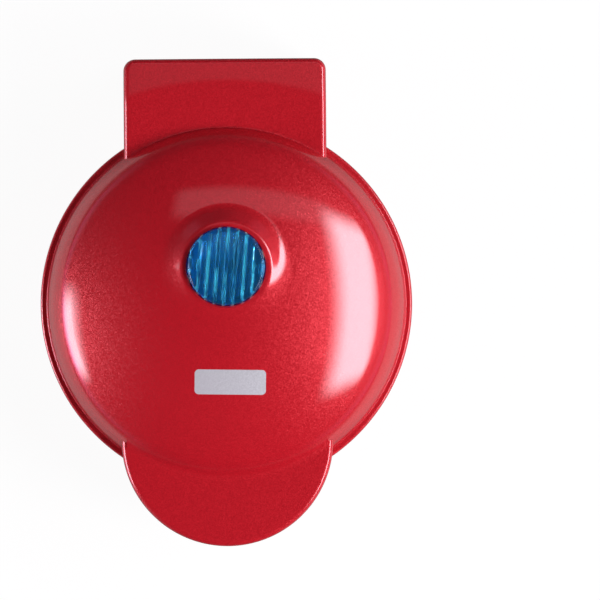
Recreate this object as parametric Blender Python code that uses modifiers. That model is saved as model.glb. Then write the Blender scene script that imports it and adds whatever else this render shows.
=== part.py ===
import math

import bmesh
import bpy
from mathutils import Matrix, Vector

# Mini waffle maker: a hinged lid over a base, each with a cast waffle plate, a ring heater behind it
# and a painted cover. The dome's axis is the Z axis, the handle points to -Y and the hinge is at +Y.
# Heights are above the surface that it stands on. A depth runs from the parting plane into the lid
# (side = 1) or into the base (side = -1).

mm = 0.001
UPWARD = 1
DOWNWARD = -1

# Plan of the housing
rim_radius = 63.5 * mm
rim_margin = 12.7 * mm
block_half_width = 34.5 * mm
block_overhang = 20 * mm
block_corner = 4 * mm
tab_radius = 36 * mm
tab_overhang = 19 * mm
edge_rounding = 1.8 * mm

# Heights of the housing
pan_height = 3 * mm
parting_height = 34 * mm
block_rise = 11 * mm
tab_rise = 14 * mm
tab_drop = 12 * mm
dome_rise = 32.8 * mm
block_floor_step = 0.4 * mm

# Walls and clearances
wall = 2.2 * mm
lip_wall = 1.8 * mm
fit_gap = 0.3 * mm
parting_gap = 0.8 * mm
overrun = 4 * mm
sink = 0.5 * mm
seam = 0.03 * mm
weld = 0.001 * mm

# Lip, flank and shoulder of the lid, and the bowl of the base
lip_height = 5.2 * mm
lip_rounding = 1 * mm
lip_step = 2.3 * mm
shoulder_radius = 17 * mm
shoulder_rise = 4.5 * mm
flank_draft = 7
bowl_draft = 10
bowl_corner = 11 * mm
tab_fillet = 5 * mm

# Collar round the lens
lens_offset = 12.5 * mm
collar_rise = 1.4 * mm
collar_radius = 14.5 * mm
collar_foot_radius = 20.5 * mm
collar_foot_drop = 7.4 * mm
collar_rounding = 0.8 * mm

# Lens
lens_radius = 13 * mm
lens_rise = 2.8 * mm
lens_edge_drop = 0.2 * mm
lens_flange_width = 1.2 * mm
lens_flange_height = 1.2 * mm
lens_skin = 2.3 * mm
lens_thickness = 4.6 * mm
lens_rim_width = 0.9 * mm
flute_count = 8
flute_pitch = 3 * mm
flute_depth = 1.3 * mm
flute_turn = -4.6

# Cooking plates
plate_lip = 1.5 * mm
plate_floor_depth = 7.5 * mm
plate_floor_thickness = 2 * mm
plate_lip_taper = 1.1 * mm
peg_pitch = 10.8 * mm
peg_base = 6.6 * mm
peg_tip = 5.2 * mm
peg_height = 5 * mm
grid_margin = 2 * mm
boss_inset = 5.8 * mm
boss_radius = 3 * mm
boss_height = 4 * mm
boss_angles = (30, 150, 270)
stud_base_radius = 4 * mm
stud_radius = 2 * mm

# Inner frames
frame_thickness = 3 * mm
collar_wall = 2 * mm
ledge_width = 11.6 * mm
ledge_thickness = 1.6 * mm
notch_half_width = 7.5 * mm

# Heating elements and what holds them
element_radius = 3.2 * mm
element_ring_share = 0.59
element_leg_half_gap = 5 * mm
element_leg_length = 8 * mm
element_gap_angle = 18
clamp_overhang = 4 * mm
clamp_width = 9 * mm
clamp_thickness = 1 * mm
nut_radius = 3.6 * mm
nut_height = 1.8 * mm

# Heat reflectors
reflector_flange = 4.6 * mm
reflector_sheet = 0.6 * mm
reflector_slope = 4 * mm
reflector_room = 0.6 * mm
lead_slot_half_width = 3.5 * mm

# Screws
screw_radius = 1.5 * mm
screw_head_radius = 2.3 * mm
screw_head_height = 1.6 * mm
plate_screw_length = 6 * mm
cover_screw_length = 7 * mm
cover_boss_radius = 3.7 * mm
well_radius = 2.9 * mm
column_wall = 1.4 * mm
block_screw_x_share = 0.7
block_screw_inset = 7.2 * mm
tab_screw_x_share = 0.36
tab_screw_inset = 16.5 * mm
column_drop = 9 * mm
tab_column_drop = 5 * mm
column_seat = 3 * mm
post_tip = 0.8 * mm

# Lamp behind the lens
cup_wall = 1.2 * mm
cup_ear_reach = 21.5 * mm
cup_ear_half_width = 3.4 * mm
cup_ear_height = 1.8 * mm
cup_screw_place = 18.2 * mm
cup_screw_radius = 1 * mm
cup_screw_head = 1.8 * mm
cup_screw_head_height = 1.2 * mm
cup_screw_length = 4 * mm
cup_boss_radius = 2.5 * mm
cup_boss_height = 1.6 * mm
lamp_radius = 2.2 * mm
lamp_length = 15 * mm
lamp_hole_radius = 2 * mm

# Hinge
hinge_inset = 6 * mm
knuckle_radius = 6 * mm
swing_gap = 0.5 * mm
cheek_width = 7 * mm
ear_width = 7.5 * mm
knuckle_width = 7 * mm
pin_radius = 1.9 * mm
pin_recess = 0.7 * mm
pin_floor = 1.2 * mm
bridge_depth = 8.3 * mm
trough_floor = 3 * mm
guard_wall = 2 * mm
guard_start = -100
guard_end = 20
opening_angle = 100
neck_reach = 0.8 * mm
guard_neck = 1 * mm
window_half_width = 6.5 * mm
window_sill = 1.2 * mm
window_height = 5.8 * mm

# Base pieces
foot_radius = 6 * mm
foot_place_share = 0.44
foot_seat = 1 * mm
foot_rounding = 0.8 * mm
gland_height = 14 * mm
gland_radius = 5.5 * mm
gland_bore = 3.6 * mm
gland_flange = 1.8 * mm
gland_flange_depth = 2.5 * mm
thermostat_radius = 8 * mm
thermostat_body = 6.8 * mm
thermostat_base = 3 * mm
thermostat_height = 8 * mm
thermostat_place_share = 0.33
thermostat_blade = (1 * mm, 4 * mm, 5 * mm)
thermostat_blade_place = 3.2 * mm
fuse_radius = 2 * mm
fuse_length = 14 * mm
fuse_place_share = 0.3
clip_width = 6 * mm
clip_sheet = 0.7 * mm
clip_foot = 3 * mm
terminal_size = (22 * mm, 9 * mm, 8 * mm)
terminal_inset = 4.7 * mm
terminal_hole = 1.5 * mm
terminal_pitch = 5 * mm
lead_radius = 1.1 * mm
lamp_lead_radius = 0.7 * mm
lamp_lead_place = 1.2 * mm
hinge_lead_place = 4.5 * mm
lead_start = 2.4 * mm
lid_lead_angle = 150
base_lead_angle = 240

# Facets of round shapes
round_steps = 48
middle_steps = 24
small_steps = 12
hole_steps = 10
screw_steps = 8

# Places that follow from the sizes above
half_gap = parting_gap / 2
block_reach = rim_radius + block_overhang
tab_reach = rim_radius + tab_overhang
plate_radius = rim_radius - rim_margin
boss_circle = plate_radius - boss_inset
element_ring = element_ring_share * plate_radius
element_leg_end = element_ring + element_leg_length
clamp_length = 2 * (element_ring + clamp_overhang)
thermostat_place = thermostat_place_share * plate_radius
fuse_place = fuse_place_share * plate_radius
foot_place = foot_place_share * rim_radius
hinge_y = block_reach - hinge_inset
hinge_relief = knuckle_radius + swing_gap
cheek_inner = block_half_width - cheek_width
ear_outer = cheek_inner - swing_gap
ear_inner = ear_outer - ear_width
knuckle_outer = ear_inner - swing_gap
knuckle_inner = knuckle_outer - knuckle_width
guard_half_width = knuckle_inner - swing_gap
bridge_front = hinge_y - bridge_depth
block_screw = (block_screw_x_share * block_half_width, bridge_front - block_screw_inset)
tab_screw = (tab_screw_x_share * tab_radius, tab_reach - tab_screw_inset)
terminal_place = bridge_front - terminal_inset
tab_centre = tab_radius - tab_reach
flank_rise = shoulder_rise + shoulder_radius * math.sin(math.radians(flank_draft)) - lip_height
flank_top_radius = rim_radius - lip_step - flank_rise * math.tan(math.radians(flank_draft))
plate_back = plate_floor_depth + plate_floor_thickness
boss_depth = plate_back + boss_height
ledge_depth = boss_depth + fit_gap
ledge_back = ledge_depth + ledge_thickness
frame_hole = plate_radius + fit_gap
frame_collar = frame_hole + collar_wall
element_depth = plate_back + fit_gap + element_radius
clamp_depth = element_depth + element_radius + fit_gap
nut_depth = clamp_depth + clamp_thickness + fit_gap
stud_end = nut_depth + nut_height
reflector_depth = ledge_back + fit_gap
reflector_floor = stud_end + reflector_room
reflector_back = reflector_floor + reflector_sheet
collar_top = parting_height + dome_rise + collar_rise
lens_seat = collar_top - lens_skin
lens_underside = lens_seat - fit_gap - lens_flange_height


def new_collection(name):
    collection = bpy.data.collections.new(name)
    bpy.context.scene.collection.children.link(collection)
    return collection


for old in list(bpy.data.objects):
    bpy.data.objects.remove(old)
part = new_collection("mini_waffle_maker")
guides = new_collection("cutters")


def level(side, depth):
    return parting_height + side * depth


def material(name, colour, roughness, metallic=0.0, alpha=1.0):
    found = bpy.data.materials.get(name)
    if found:
        return found
    made = bpy.data.materials.new(name)
    made.use_nodes = True
    shader = made.node_tree.nodes["Principled BSDF"]
    shader.inputs["Base Color"].default_value = (*colour, 1)
    shader.inputs["Roughness"].default_value = roughness
    shader.inputs["Metallic"].default_value = metallic
    shader.inputs["Alpha"].default_value = alpha
    made.diffuse_color = (*colour, alpha)
    return made


def new_object(name, mesh, place=(0, 0, 0)):
    made = bpy.data.objects.new(name, mesh)
    made.location = place
    guides.objects.link(made)
    made.hide_render = True
    made.display_type = "WIRE"
    return made


def finish(piece, name, look, hinge=None):
    piece.name = name
    piece.data.name = name
    guides.objects.unlink(piece)
    part.objects.link(piece)
    piece.hide_render = False
    piece.display_type = "TEXTURED"
    piece.data.materials.clear()
    piece.data.materials.append(look)
    if hinge:
        piece.parent = hinge
        piece.matrix_parent_inverse = hinge.matrix_world.inverted()
    return piece


def evaluated_mesh(source):
    bpy.context.view_layer.update()
    depsgraph = bpy.context.evaluated_depsgraph_get()
    mesh = bpy.data.meshes.new_from_object(source.evaluated_get(depsgraph))
    shape = bmesh.new()
    shape.from_mesh(mesh)
    bmesh.ops.remove_doubles(shape, verts=shape.verts, dist=weld)
    shape.to_mesh(mesh)
    shape.free()
    return mesh


def as_mesh(source):
    mesh = evaluated_mesh(source)
    made = new_object(source.name, mesh)
    made.matrix_world = source.matrix_world
    bpy.data.objects.remove(source)
    return made


def soften(piece, angle=35):
    piece.data.shade_smooth()
    piece.data.set_sharp_from_angle(angle=math.radians(angle))


def turned(name, profile, steps, place=(0, 0), closed=False):
    """A profile of (radius, height) points turned about the vertical axis at a place in plan."""
    area = 0
    for (r1, z1), (r2, z2) in zip(profile, profile[1:] + profile[:1]):
        area += r1 * z2 - r2 * z1
    points = list(profile) if area < 0 else list(reversed(profile))
    shape = bmesh.new()
    corners = [shape.verts.new((radius, 0, height)) for radius, height in points]
    for start, end in zip(corners, corners[1:]):
        shape.edges.new((start, end))
    if closed:
        shape.edges.new((corners[-1], corners[0]))
    mesh = bpy.data.meshes.new(name)
    shape.to_mesh(mesh)
    shape.free()
    made = new_object(name, mesh, (place[0], place[1], 0))
    screw = made.modifiers.new("turn", "SCREW")
    screw.steps = steps
    screw.render_steps = steps
    screw.use_merge_vertices = True
    screw.merge_threshold = weld
    screw.use_smooth_shade = True
    return made


def extruded(name, outlines, low, high, along="Z"):
    """Flat outlines in plan, or in the YZ plane when along is X, given a thickness from low to high."""
    curve = bpy.data.curves.new(name, "CURVE")
    curve.dimensions = "2D"
    curve.fill_mode = "BOTH"
    curve.extrude = (high - low) / 2
    for outline in outlines:
        spline = curve.splines.new("POLY")
        spline.points.add(len(outline) - 1)
        for point, (first, second) in zip(spline.points, outline):
            point.co = (first, second, 0, 1)
        spline.use_cyclic_u = True
    middle = (low + high) / 2
    made = new_object(name, curve)
    if along == "X":
        turn = Matrix(((0, 0, 1, middle), (1, 0, 0, 0), (0, 1, 0, 0), (0, 0, 0, 1)))
        made.matrix_world = turn
    else:
        made.location = (0, 0, middle)
    return as_mesh(made)


def rod(name, radius, low, high, place=(0, 0), along="Z", steps=small_steps):
    """A plain cylinder from low to high along one axis, at a place on the other two."""
    shape = bmesh.new()
    bmesh.ops.create_cone(shape, cap_ends=True, segments=steps, radius1=radius, radius2=radius,
                          depth=high - low)
    middle = (low + high) / 2
    if along == "X":
        turn = Matrix.Translation((middle, *place)) @ Matrix.Rotation(math.pi / 2, 4, "Y")
    elif along == "Y":
        turn = Matrix.Translation((place[0], middle, place[1])) @ Matrix.Rotation(math.pi / 2, 4, "X")
    else:
        turn = Matrix.Translation((*place, middle))
    mesh = bpy.data.meshes.new(name)
    shape.to_mesh(mesh)
    shape.free()
    made = new_object(name, mesh)
    made.matrix_world = turn
    return made


def box(name, low, high):
    shape = bmesh.new()
    bmesh.ops.create_cube(shape, size=1)
    size = [b - a for a, b in zip(low, high)]
    bmesh.ops.scale(shape, vec=size, verts=shape.verts)
    mesh = bpy.data.meshes.new(name)
    shape.to_mesh(mesh)
    shape.free()
    return new_object(name, mesh, [(a + b) / 2 for a, b in zip(low, high)])


def tube(name, points, radius, resolution=2):
    """A round wire or rod that follows points."""
    curve = bpy.data.curves.new(name, "CURVE")
    curve.dimensions = "3D"
    curve.bevel_depth = radius
    curve.bevel_resolution = resolution
    curve.use_fill_caps = True
    spline = curve.splines.new("POLY")
    spline.points.add(len(points) - 1)
    for point, place in zip(spline.points, points):
        point.co = (*place, 1)
    return as_mesh(new_object(name, curve))


def joined(name, pieces):
    """Several separate solids gathered in one object."""
    shape = bmesh.new()
    for piece in pieces:
        mesh = evaluated_mesh(piece)
        mesh.transform(piece.matrix_world)
        shape.from_mesh(mesh)
        bpy.data.objects.remove(piece)
    mesh = bpy.data.meshes.new(name)
    shape.to_mesh(mesh)
    shape.free()
    return new_object(name, mesh)


def bevel(piece, width, segments=2, angle=40):
    """Rounded edges, after the flat ends are made one face each."""
    shape = bmesh.new()
    shape.from_mesh(piece.data)
    bmesh.ops.dissolve_limit(shape, angle_limit=math.radians(1), verts=shape.verts, edges=shape.edges)
    shape.to_mesh(piece.data)
    shape.free()
    rounding = piece.modifiers.new("edge", "BEVEL")
    rounding.width = width
    rounding.segments = segments
    rounding.limit_method = "ANGLE"
    rounding.angle_limit = math.radians(angle)
    rounding.use_clamp_overlap = False
    return piece


def combine(piece, other, operation):
    step = piece.modifiers.new(other.name, "BOOLEAN")
    step.object = other
    step.operation = operation
    step.solver = "EXACT"
    return piece


def add(piece, *others):
    for other in others:
        combine(piece, other, "UNION")
    return piece


def cut(piece, *others):
    for other in others:
        combine(piece, other, "DIFFERENCE")
    return piece


def arc(centre, radius, start, end, steps):
    points = []
    for index in range(steps + 1):
        angle = math.radians(start + (end - start) * index / steps)
        points.append((centre[0] + radius * math.cos(angle), centre[1] + radius * math.sin(angle)))
    return points


def bend(start, corner, end, steps=4):
    """Points of a smooth bend that leaves start towards corner and arrives at end from it."""
    start, corner, end = Vector(start), Vector(corner), Vector(end)
    points = []
    for index in range(steps + 1):
        share = index / steps
        points.append(start.lerp(corner, share).lerp(corner.lerp(end, share), share))
    return points


def smooth_route(places, steps=2):
    """Points read from a smooth curve through the given places."""
    places = [Vector(place) for place in places]
    ends = [2 * places[0] - places[1]] + places + [2 * places[-1] - places[-2]]
    points = [places[0]]
    for before, start, end, after in zip(ends, ends[1:], ends[2:], ends[3:]):
        for index in range(1, steps + 1):
            t = index / steps
            points.append(0.5 * (2 * start + (end - before) * t
                                 + (2 * before - 5 * start + 4 * end - after) * t ** 2
                                 + (3 * start - before - 3 * end + after) * t ** 3))
    return points


def shoulder_centre():
    draft = math.radians(flank_draft)
    return flank_top_radius - shoulder_radius * math.cos(draft), parting_height + shoulder_rise


def dome_radius(shrink=0):
    """Radius of the dome that runs smoothly into the shoulder."""
    reach, height = shoulder_centre()
    drop = parting_height + dome_rise - height
    full = (reach ** 2 + drop ** 2 - shoulder_radius ** 2) / (2 * (drop - shoulder_radius))
    return full - shrink


def dome_profile(shrink, dome_steps, shoulder_steps):
    """The lid's dome, shoulder and the start of its flank, moved inwards by shrink."""
    reach, height = shoulder_centre()
    radius = dome_radius()
    centre = parting_height + dome_rise - radius
    slope = math.degrees(math.atan2(height - centre, reach))
    points = arc((0, centre), radius - shrink, 90, slope, dome_steps)
    points += arc((reach, height), shoulder_radius - shrink, slope, flank_draft, shoulder_steps)[1:]
    return [(max(point[0], 0), point[1]) for point in points]


def block_outline(inset, front, rear, corner):
    width = block_half_width - inset
    points = [(width, front)]
    if corner > 0:
        points += arc((width - corner, rear - corner), corner, 0, 90, 4)
        points += arc((corner - width, rear - corner), corner, 90, 180, 4)
    else:
        points += [(width, rear), (-width, rear)]
    return points + [(-width, front)]


def tab_outline(inset, rear, steps=20):
    radius = tab_radius - inset
    return [(-radius, rear)] + arc((0, tab_centre), radius, 180, 360, steps) + [(radius, rear)]


def frame_outline(rim, inset, rear):
    """The inner frame's panel: the rim's circle with the block and the tab grown out of it."""
    width = block_half_width - inset
    radius = tab_radius - inset
    block_y = math.sqrt(rim ** 2 - width ** 2)
    tab_y = (rim ** 2 - radius ** 2 + tab_centre ** 2) / (2 * tab_centre)
    tab_x = math.sqrt(rim ** 2 - tab_y ** 2)
    low = math.degrees(math.atan2(tab_y, tab_x))
    high = math.degrees(math.atan2(block_y, width))
    tab_turn = math.degrees(math.atan2(tab_y - tab_centre, tab_x))
    points = arc((0, 0), rim, low, high, 10)
    points += [(width, rear), (-width, rear)]
    points += arc((0, 0), rim, 180 - high, 180 - low, 10)
    points += arc((0, tab_centre), radius, 180 - tab_turn, 360 + tab_turn, 20)[1:-1]
    return points


def rods_at(name, radius, low, high, places, steps=hole_steps):
    rods = []
    for place in places:
        rods.append(rod(name, radius, low, high, place, steps=steps))
    return joined(name, rods)


def mirrored_places(place):
    return [(place[0], place[1]), (-place[0], place[1])]


def cover_screw_places():
    return mirrored_places(block_screw) + mirrored_places((tab_screw[0], -tab_screw[1]))


def boss_places():
    places = []
    for angle in boss_angles:
        turn = math.radians(angle)
        places.append((boss_circle * math.cos(turn), boss_circle * math.sin(turn)))
    return places


def screws(name, heads, radius, head_radius, head_height, length, look, hinge=None, points_down=False):
    """Pan head screws with their seats at the given places; the shanks run up, or down."""
    profile = [(0, head_height), (0.6 * head_radius, head_height), (head_radius, 0.5 * head_height),
               (head_radius, 0), (radius, 0), (radius, -length), (0, -length)]
    for number, place in enumerate(heads, 1):
        screw = turned(name, profile, screw_steps)
        turn = Matrix.Identity(4) if points_down else Matrix.Rotation(math.pi, 4, "X")
        screw.matrix_world = Matrix.Translation(place) @ turn
        soften(screw)
        finish(screw, f"{name}_{number}", look, hinge)


def hinge_rod(name, radius, low, high, steps=middle_steps):
    return rod(name, radius, low, high, (hinge_y, parting_height), "X", steps)


def both_sides(name, low, high, maker):
    return [maker(name + "_right", low, high), maker(name + "_left", -high, -low)]


def pin_bores(name):
    """Bores for the hinge pins, open at the block's sides."""
    low = knuckle_inner + pin_floor
    return both_sides(name, low, block_half_width + overrun,
                      lambda label, a, b: hinge_rod(label, pin_radius + fit_gap, a, b, small_steps))


def lid_outside():
    """The lid's outer form before it is hollowed: dome, lip, hinge block, tab and lens collar."""
    lip_top = parting_height + lip_height
    foot = rim_radius - lip_step
    low = parting_height - overrun
    profile = dome_profile(0, 7, 7) + [(foot, lip_top)]
    profile += arc((rim_radius - lip_rounding, lip_top - lip_rounding), lip_rounding, 90, 0, 2)
    profile += [(rim_radius, low), (0, low)]
    body = turned("lid_dome", profile, round_steps)

    outline = block_outline(0, rim_radius / 2, block_reach, block_corner)
    block = bevel(extruded("lid_block", [outline], low, parting_height + block_rise), edge_rounding)
    tab_high = parting_height + tab_rise
    tab = bevel(extruded("lid_tab", [tab_outline(0, tab_centre / 2)], low, tab_high), edge_rounding)

    reach, height = shoulder_centre()
    fillet_height = tab_high + tab_fillet - seam
    span = shoulder_radius + tab_fillet
    fillet_reach = reach + math.sqrt(span ** 2 - (fillet_height - height) ** 2)
    tilt = math.degrees(math.atan2(fillet_height - height, fillet_reach - reach))
    valley = arc((fillet_reach, fillet_height), tab_fillet, 180 + tilt, 270, 4)
    ring = [(valley[0][0] - overrun, valley[0][1] - sink)] + valley
    ring += [(fillet_reach, tab_high - sink), (valley[0][0] - overrun, tab_high - sink)]
    fillet = turned("tab_valley", ring, round_steps, closed=True)
    room = extruded("tab_valley_room", [tab_outline(edge_rounding, tab_centre + wall)], low,
                    tab_high + tab_fillet)
    combine(fillet, room, "INTERSECT")

    collar = lens_collar()
    add(body, block, tab, fillet, collar)
    return body


def lens_collar():
    """The raised collar, level on top, whose flank flares into the dome."""
    foot = collar_top - collar_foot_drop
    profile = [(0, collar_top)]
    profile += arc((collar_radius, collar_top - collar_rounding), collar_rounding, 90, 20, 2)
    start = profile[-1]
    flare = bend((start[0], 0, start[1]), (start[0] + collar_rounding, 0, foot + collar_foot_drop / 3),
                 (collar_foot_radius, 0, foot), 5)
    profile += [(point.x, point.z) for point in flare[1:]]
    low = collar_top - collar_foot_drop - wall
    profile += [(collar_foot_radius, low), (0, low)]
    return turned("lens_collar", profile, middle_steps, (0, lens_offset))


def lid_cavity():
    """The inner faces of the lid: under the dome, in the block and in the tab."""
    low = parting_height - 2 * overrun
    seat = parting_height + half_gap + frame_thickness + fit_gap
    flank = rim_radius - lip_step - wall
    inner = rim_radius - lip_wall
    profile = dome_profile(wall, 5, 5) + [(flank, parting_height + lip_height), (flank, seat)]
    profile += [(inner, seat), (inner, low), (0, low)]
    dome = turned("lid_dome_inside", profile, round_steps)
    outline = block_outline(wall, rim_radius / 2, bridge_front, 0)
    block = extruded("lid_block_inside", [outline], low, parting_height + block_rise - wall)
    tab = extruded("lid_tab_inside", [tab_outline(wall, tab_centre / 2)], low,
                   parting_height + tab_rise - wall)
    return [dome, block, tab]


def hinge_knuckles():
    """The lid's solid knuckles: a cheek and an inner one on each side, rounded about the axis."""
    cheek_end = block_half_width - fit_gap
    pieces = both_sides("cheek", cheek_inner, cheek_end, lambda n, a, b: hinge_rod(n, knuckle_radius, a, b))
    pieces += both_sides("knuckle", knuckle_inner, knuckle_outer,
                         lambda n, a, b: hinge_rod(n, knuckle_radius, a, b))
    return pieces


def lid_shell(look, hinge):
    """Painted outer cover of the lid."""
    shell = lid_outside()
    cut(shell, *lid_cavity())
    edge = parting_height + half_gap
    far = 2 * block_reach
    cut(shell, box("below_lid", (-far, -far, parting_height - far), (far, far, edge)))

    boss_low = edge + frame_thickness + fit_gap
    top = parting_height + block_rise - wall / 2
    add(shell, rods_at("block_bosses", cover_boss_radius, boss_low, top, mirrored_places(block_screw)))
    tab_high = parting_height + tab_rise - wall / 2
    tab_places = mirrored_places((tab_screw[0], -tab_screw[1]))
    add(shell, rods_at("tab_bosses", cover_boss_radius, boss_low, tab_high, tab_places))
    pilot_high = edge + screw_head_height + cover_screw_length + fit_gap
    cut(shell, rods_at("cover_pilots", screw_radius + fit_gap, boss_low - sink, pilot_high,
                       cover_screw_places()))

    lens_place = (0, lens_offset)
    cut(shell, rod("lens_room", lens_radius + lens_flange_width + fit_gap, lens_underside - overrun * 2,
                   lens_seat, lens_place, steps=middle_steps))
    cut(shell, rod("lens_hole", lens_radius + fit_gap, lens_underside, collar_top + overrun, lens_place,
                   steps=middle_steps))
    cup_boss_low, cup_boss_high = cup_boss_heights()
    cup_places = mirrored_cup_places()
    add(shell, rods_at("cup_bosses", cup_boss_radius, cup_boss_low, cup_boss_high + sink, cup_places))
    cut(shell, rods_at("cup_pilots", cup_screw_radius + fit_gap, cup_boss_low - sink, cup_boss_high + sink,
                       cup_places))

    add(shell, *hinge_knuckles())
    reliefs = both_sides("ear_relief", ear_inner - swing_gap, ear_outer + swing_gap,
                         lambda n, a, b: hinge_rod(n, hinge_relief, a, b))
    reliefs.append(hinge_rod("guard_relief", hinge_relief, -knuckle_inner, knuckle_inner))
    cut(shell, *reliefs)
    window_low = edge + window_sill
    cut(shell, box("lead_window", (-window_half_width, bridge_front - sink, window_low),
                   (window_half_width, hinge_y - knuckle_radius / 2, window_low + window_height)))
    cut(shell, *pin_bores("lid_pin_bore"))
    soften(shell)
    return finish(shell, "lid_shell", look, hinge)


def mirrored_cup_places():
    return [(cup_screw_place, lens_offset), (-cup_screw_place, lens_offset)]


def cup_boss_heights():
    """Lower and upper end of the bosses that hold the lamp housing, under the dome."""
    away = math.hypot(cup_screw_place, lens_offset)
    radius = dome_radius(wall)
    centre = parting_height + dome_rise - dome_radius()
    surface = centre + math.sqrt(radius ** 2 - away ** 2)
    return surface - cup_boss_height, surface


def inner_frame(side):
    """Moulded frame: a flat panel round the plate and a collar whose ledge carries the plate."""
    rim = rim_radius - lip_wall - fit_gap
    near = min(level(side, half_gap), level(side, half_gap + frame_thickness))
    far = near + frame_thickness
    rear = bridge_front - fit_gap
    outline = frame_outline(rim, wall + fit_gap, rear)
    hole = arc((0, 0), frame_hole, 0, 360, round_steps)[:-1]
    panel = extruded("frame_panel", [outline, hole], near, far)
    start = half_gap + sink
    profile = [(frame_hole, start), (frame_collar, start), (frame_collar, ledge_back)]
    profile += [(frame_collar - ledge_width, ledge_back), (frame_collar - ledge_width, ledge_depth)]
    profile += [(frame_hole, ledge_depth)]
    profile = [(radius, level(side, depth)) for radius, depth in profile]
    collar = turned("frame_collar", profile, round_steps, closed=True)
    add(panel, collar)
    low, high = sorted((level(side, plate_back + fit_gap), level(side, ledge_back + overrun)))
    inside = frame_collar - ledge_width - overrun
    cut(panel, box("lead_notch", (-notch_half_width, inside, low),
                   (notch_half_width, frame_collar + overrun, high)))
    low, high = sorted((level(side, ledge_depth - sink), level(side, ledge_back + sink)))
    cut(panel, rods_at("ledge_holes", screw_radius + fit_gap, low, high, boss_places()))
    return panel


def lid_inner_frame(look, hinge):
    frame = inner_frame(UPWARD)
    low = level(UPWARD, half_gap)
    high = low + frame_thickness
    places = cover_screw_places()
    cut(frame, rods_at("screw_holes", screw_radius + fit_gap, low - sink, high + sink, places))
    cut(frame, rods_at("screw_seats", screw_head_radius + fit_gap, low - sink,
                       low + screw_head_height + fit_gap, places))
    soften(frame)
    return finish(frame, "lid_inner_frame", look, hinge)


def base_post_places():
    """Each base screw's place with the depth where its post ends."""
    block = [(place, column_drop) for place in mirrored_places(block_screw)]
    tab = [(place, tab_column_drop) for place in mirrored_places((tab_screw[0], -tab_screw[1]))]
    return block + tab


def base_inner_frame(look):
    frame = inner_frame(DOWNWARD)
    top = level(DOWNWARD, half_gap + sink)
    for place, drop in base_post_places():
        add(frame, rod("post", cover_boss_radius, level(DOWNWARD, drop), top, place, steps=hole_steps))
    for place, drop in base_post_places():
        cut(frame, rod("post_pilot", screw_radius + fit_gap, level(DOWNWARD, drop) - sink,
                       level(DOWNWARD, half_gap + post_tip), place, steps=hole_steps))
    soften(frame)
    return finish(frame, "base_inner_frame", look)


def waffle_grid(side):
    """Tapered square pegs on a square pitch, trimmed to the plate's round."""
    reach = plate_radius - plate_lip - plate_lip_taper - grid_margin
    count = math.ceil(reach / peg_pitch)
    base_depth = plate_floor_depth + sink
    tip_depth = plate_floor_depth - peg_height
    flare = (peg_base - peg_tip) / peg_height
    low_width = peg_base + flare * sink
    shape = bmesh.new()
    for row in range(-count, count):
        for column in range(-count, count):
            x = (column + 0.5) * peg_pitch
            y = (row + 0.5) * peg_pitch
            if math.hypot(x, y) > reach:
                continue
            middle = level(side, (base_depth + tip_depth) / 2)
            turn = Matrix.Translation((x, y, middle)) @ Matrix.Rotation(math.pi / 4, 4, "Z")
            widths = (low_width, peg_tip) if side == DOWNWARD else (peg_tip, low_width)
            bmesh.ops.create_cone(shape, cap_ends=True, segments=4, radius1=widths[0] / math.sqrt(2),
                                  radius2=widths[1] / math.sqrt(2), depth=base_depth - tip_depth, matrix=turn)
    mesh = bpy.data.meshes.new("waffle_grid")
    shape.to_mesh(mesh)
    shape.free()
    grid = new_object("waffle_grid", mesh)
    low, high = sorted((level(side, base_depth + sink), level(side, tip_depth - sink)))
    combine(grid, rod("grid_round", reach, low, high, steps=round_steps), "INTERSECT")
    return grid


def cooking_plate(side, name, look, hinge=None):
    """Cast dish with a waffle grid, three screw bosses and a centre stud on its back."""
    inner = plate_radius - plate_lip
    profile = [(0, plate_floor_depth), (inner - plate_lip_taper, plate_floor_depth), (inner, half_gap)]
    profile += [(plate_radius, half_gap), (plate_radius, plate_back), (stud_base_radius, plate_back)]
    profile += [(stud_base_radius, clamp_depth - fit_gap), (stud_radius, clamp_depth - fit_gap)]
    profile += [(stud_radius, stud_end), (0, stud_end)]
    plate = turned(name, [(radius, level(side, depth)) for radius, depth in profile], round_steps)
    add(plate, waffle_grid(side))
    low, high = sorted((level(side, plate_back - sink), level(side, boss_depth)))
    add(plate, rods_at("plate_bosses", boss_radius, low, high, boss_places()))
    low, high = sorted((level(side, plate_floor_depth + post_tip), level(side, boss_depth + sink)))
    cut(plate, rods_at("plate_pilots", screw_radius + fit_gap, low, high, boss_places()))
    soften(plate)
    return finish(plate, name, look, hinge)


def heating_element(side, name, look, hinge=None):
    """Sheathed rod bent to a ring, with two legs that run to the rear."""
    height = level(side, element_depth)
    steps = 26
    span = 360 - 2 * element_gap_angle
    ring = arc((0, 0), element_ring, 90 + element_gap_angle, 90 + element_gap_angle + span, steps)
    ring = [Vector((x, y, height)) for x, y in ring]
    run = element_ring * math.sin(math.radians(element_gap_angle)) - element_leg_half_gap
    corner_y = ring[0].y + run * math.tan(math.radians(element_gap_angle))
    start = Vector((-element_leg_half_gap, corner_y + run, height))
    first = bend(start, (-element_leg_half_gap, corner_y, height), ring[0], 3)
    mirror = [Vector((-point.x, point.y, point.z)) for point in reversed(first)]
    left_end = Vector((-element_leg_half_gap, element_leg_end, height))
    right_end = Vector((element_leg_half_gap, element_leg_end, height))
    points = [left_end] + first + ring[1:-1] + mirror + [right_end]
    element = tube(name, points, element_radius)
    soften(element, 50)
    return finish(element, name, look, hinge)


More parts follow.
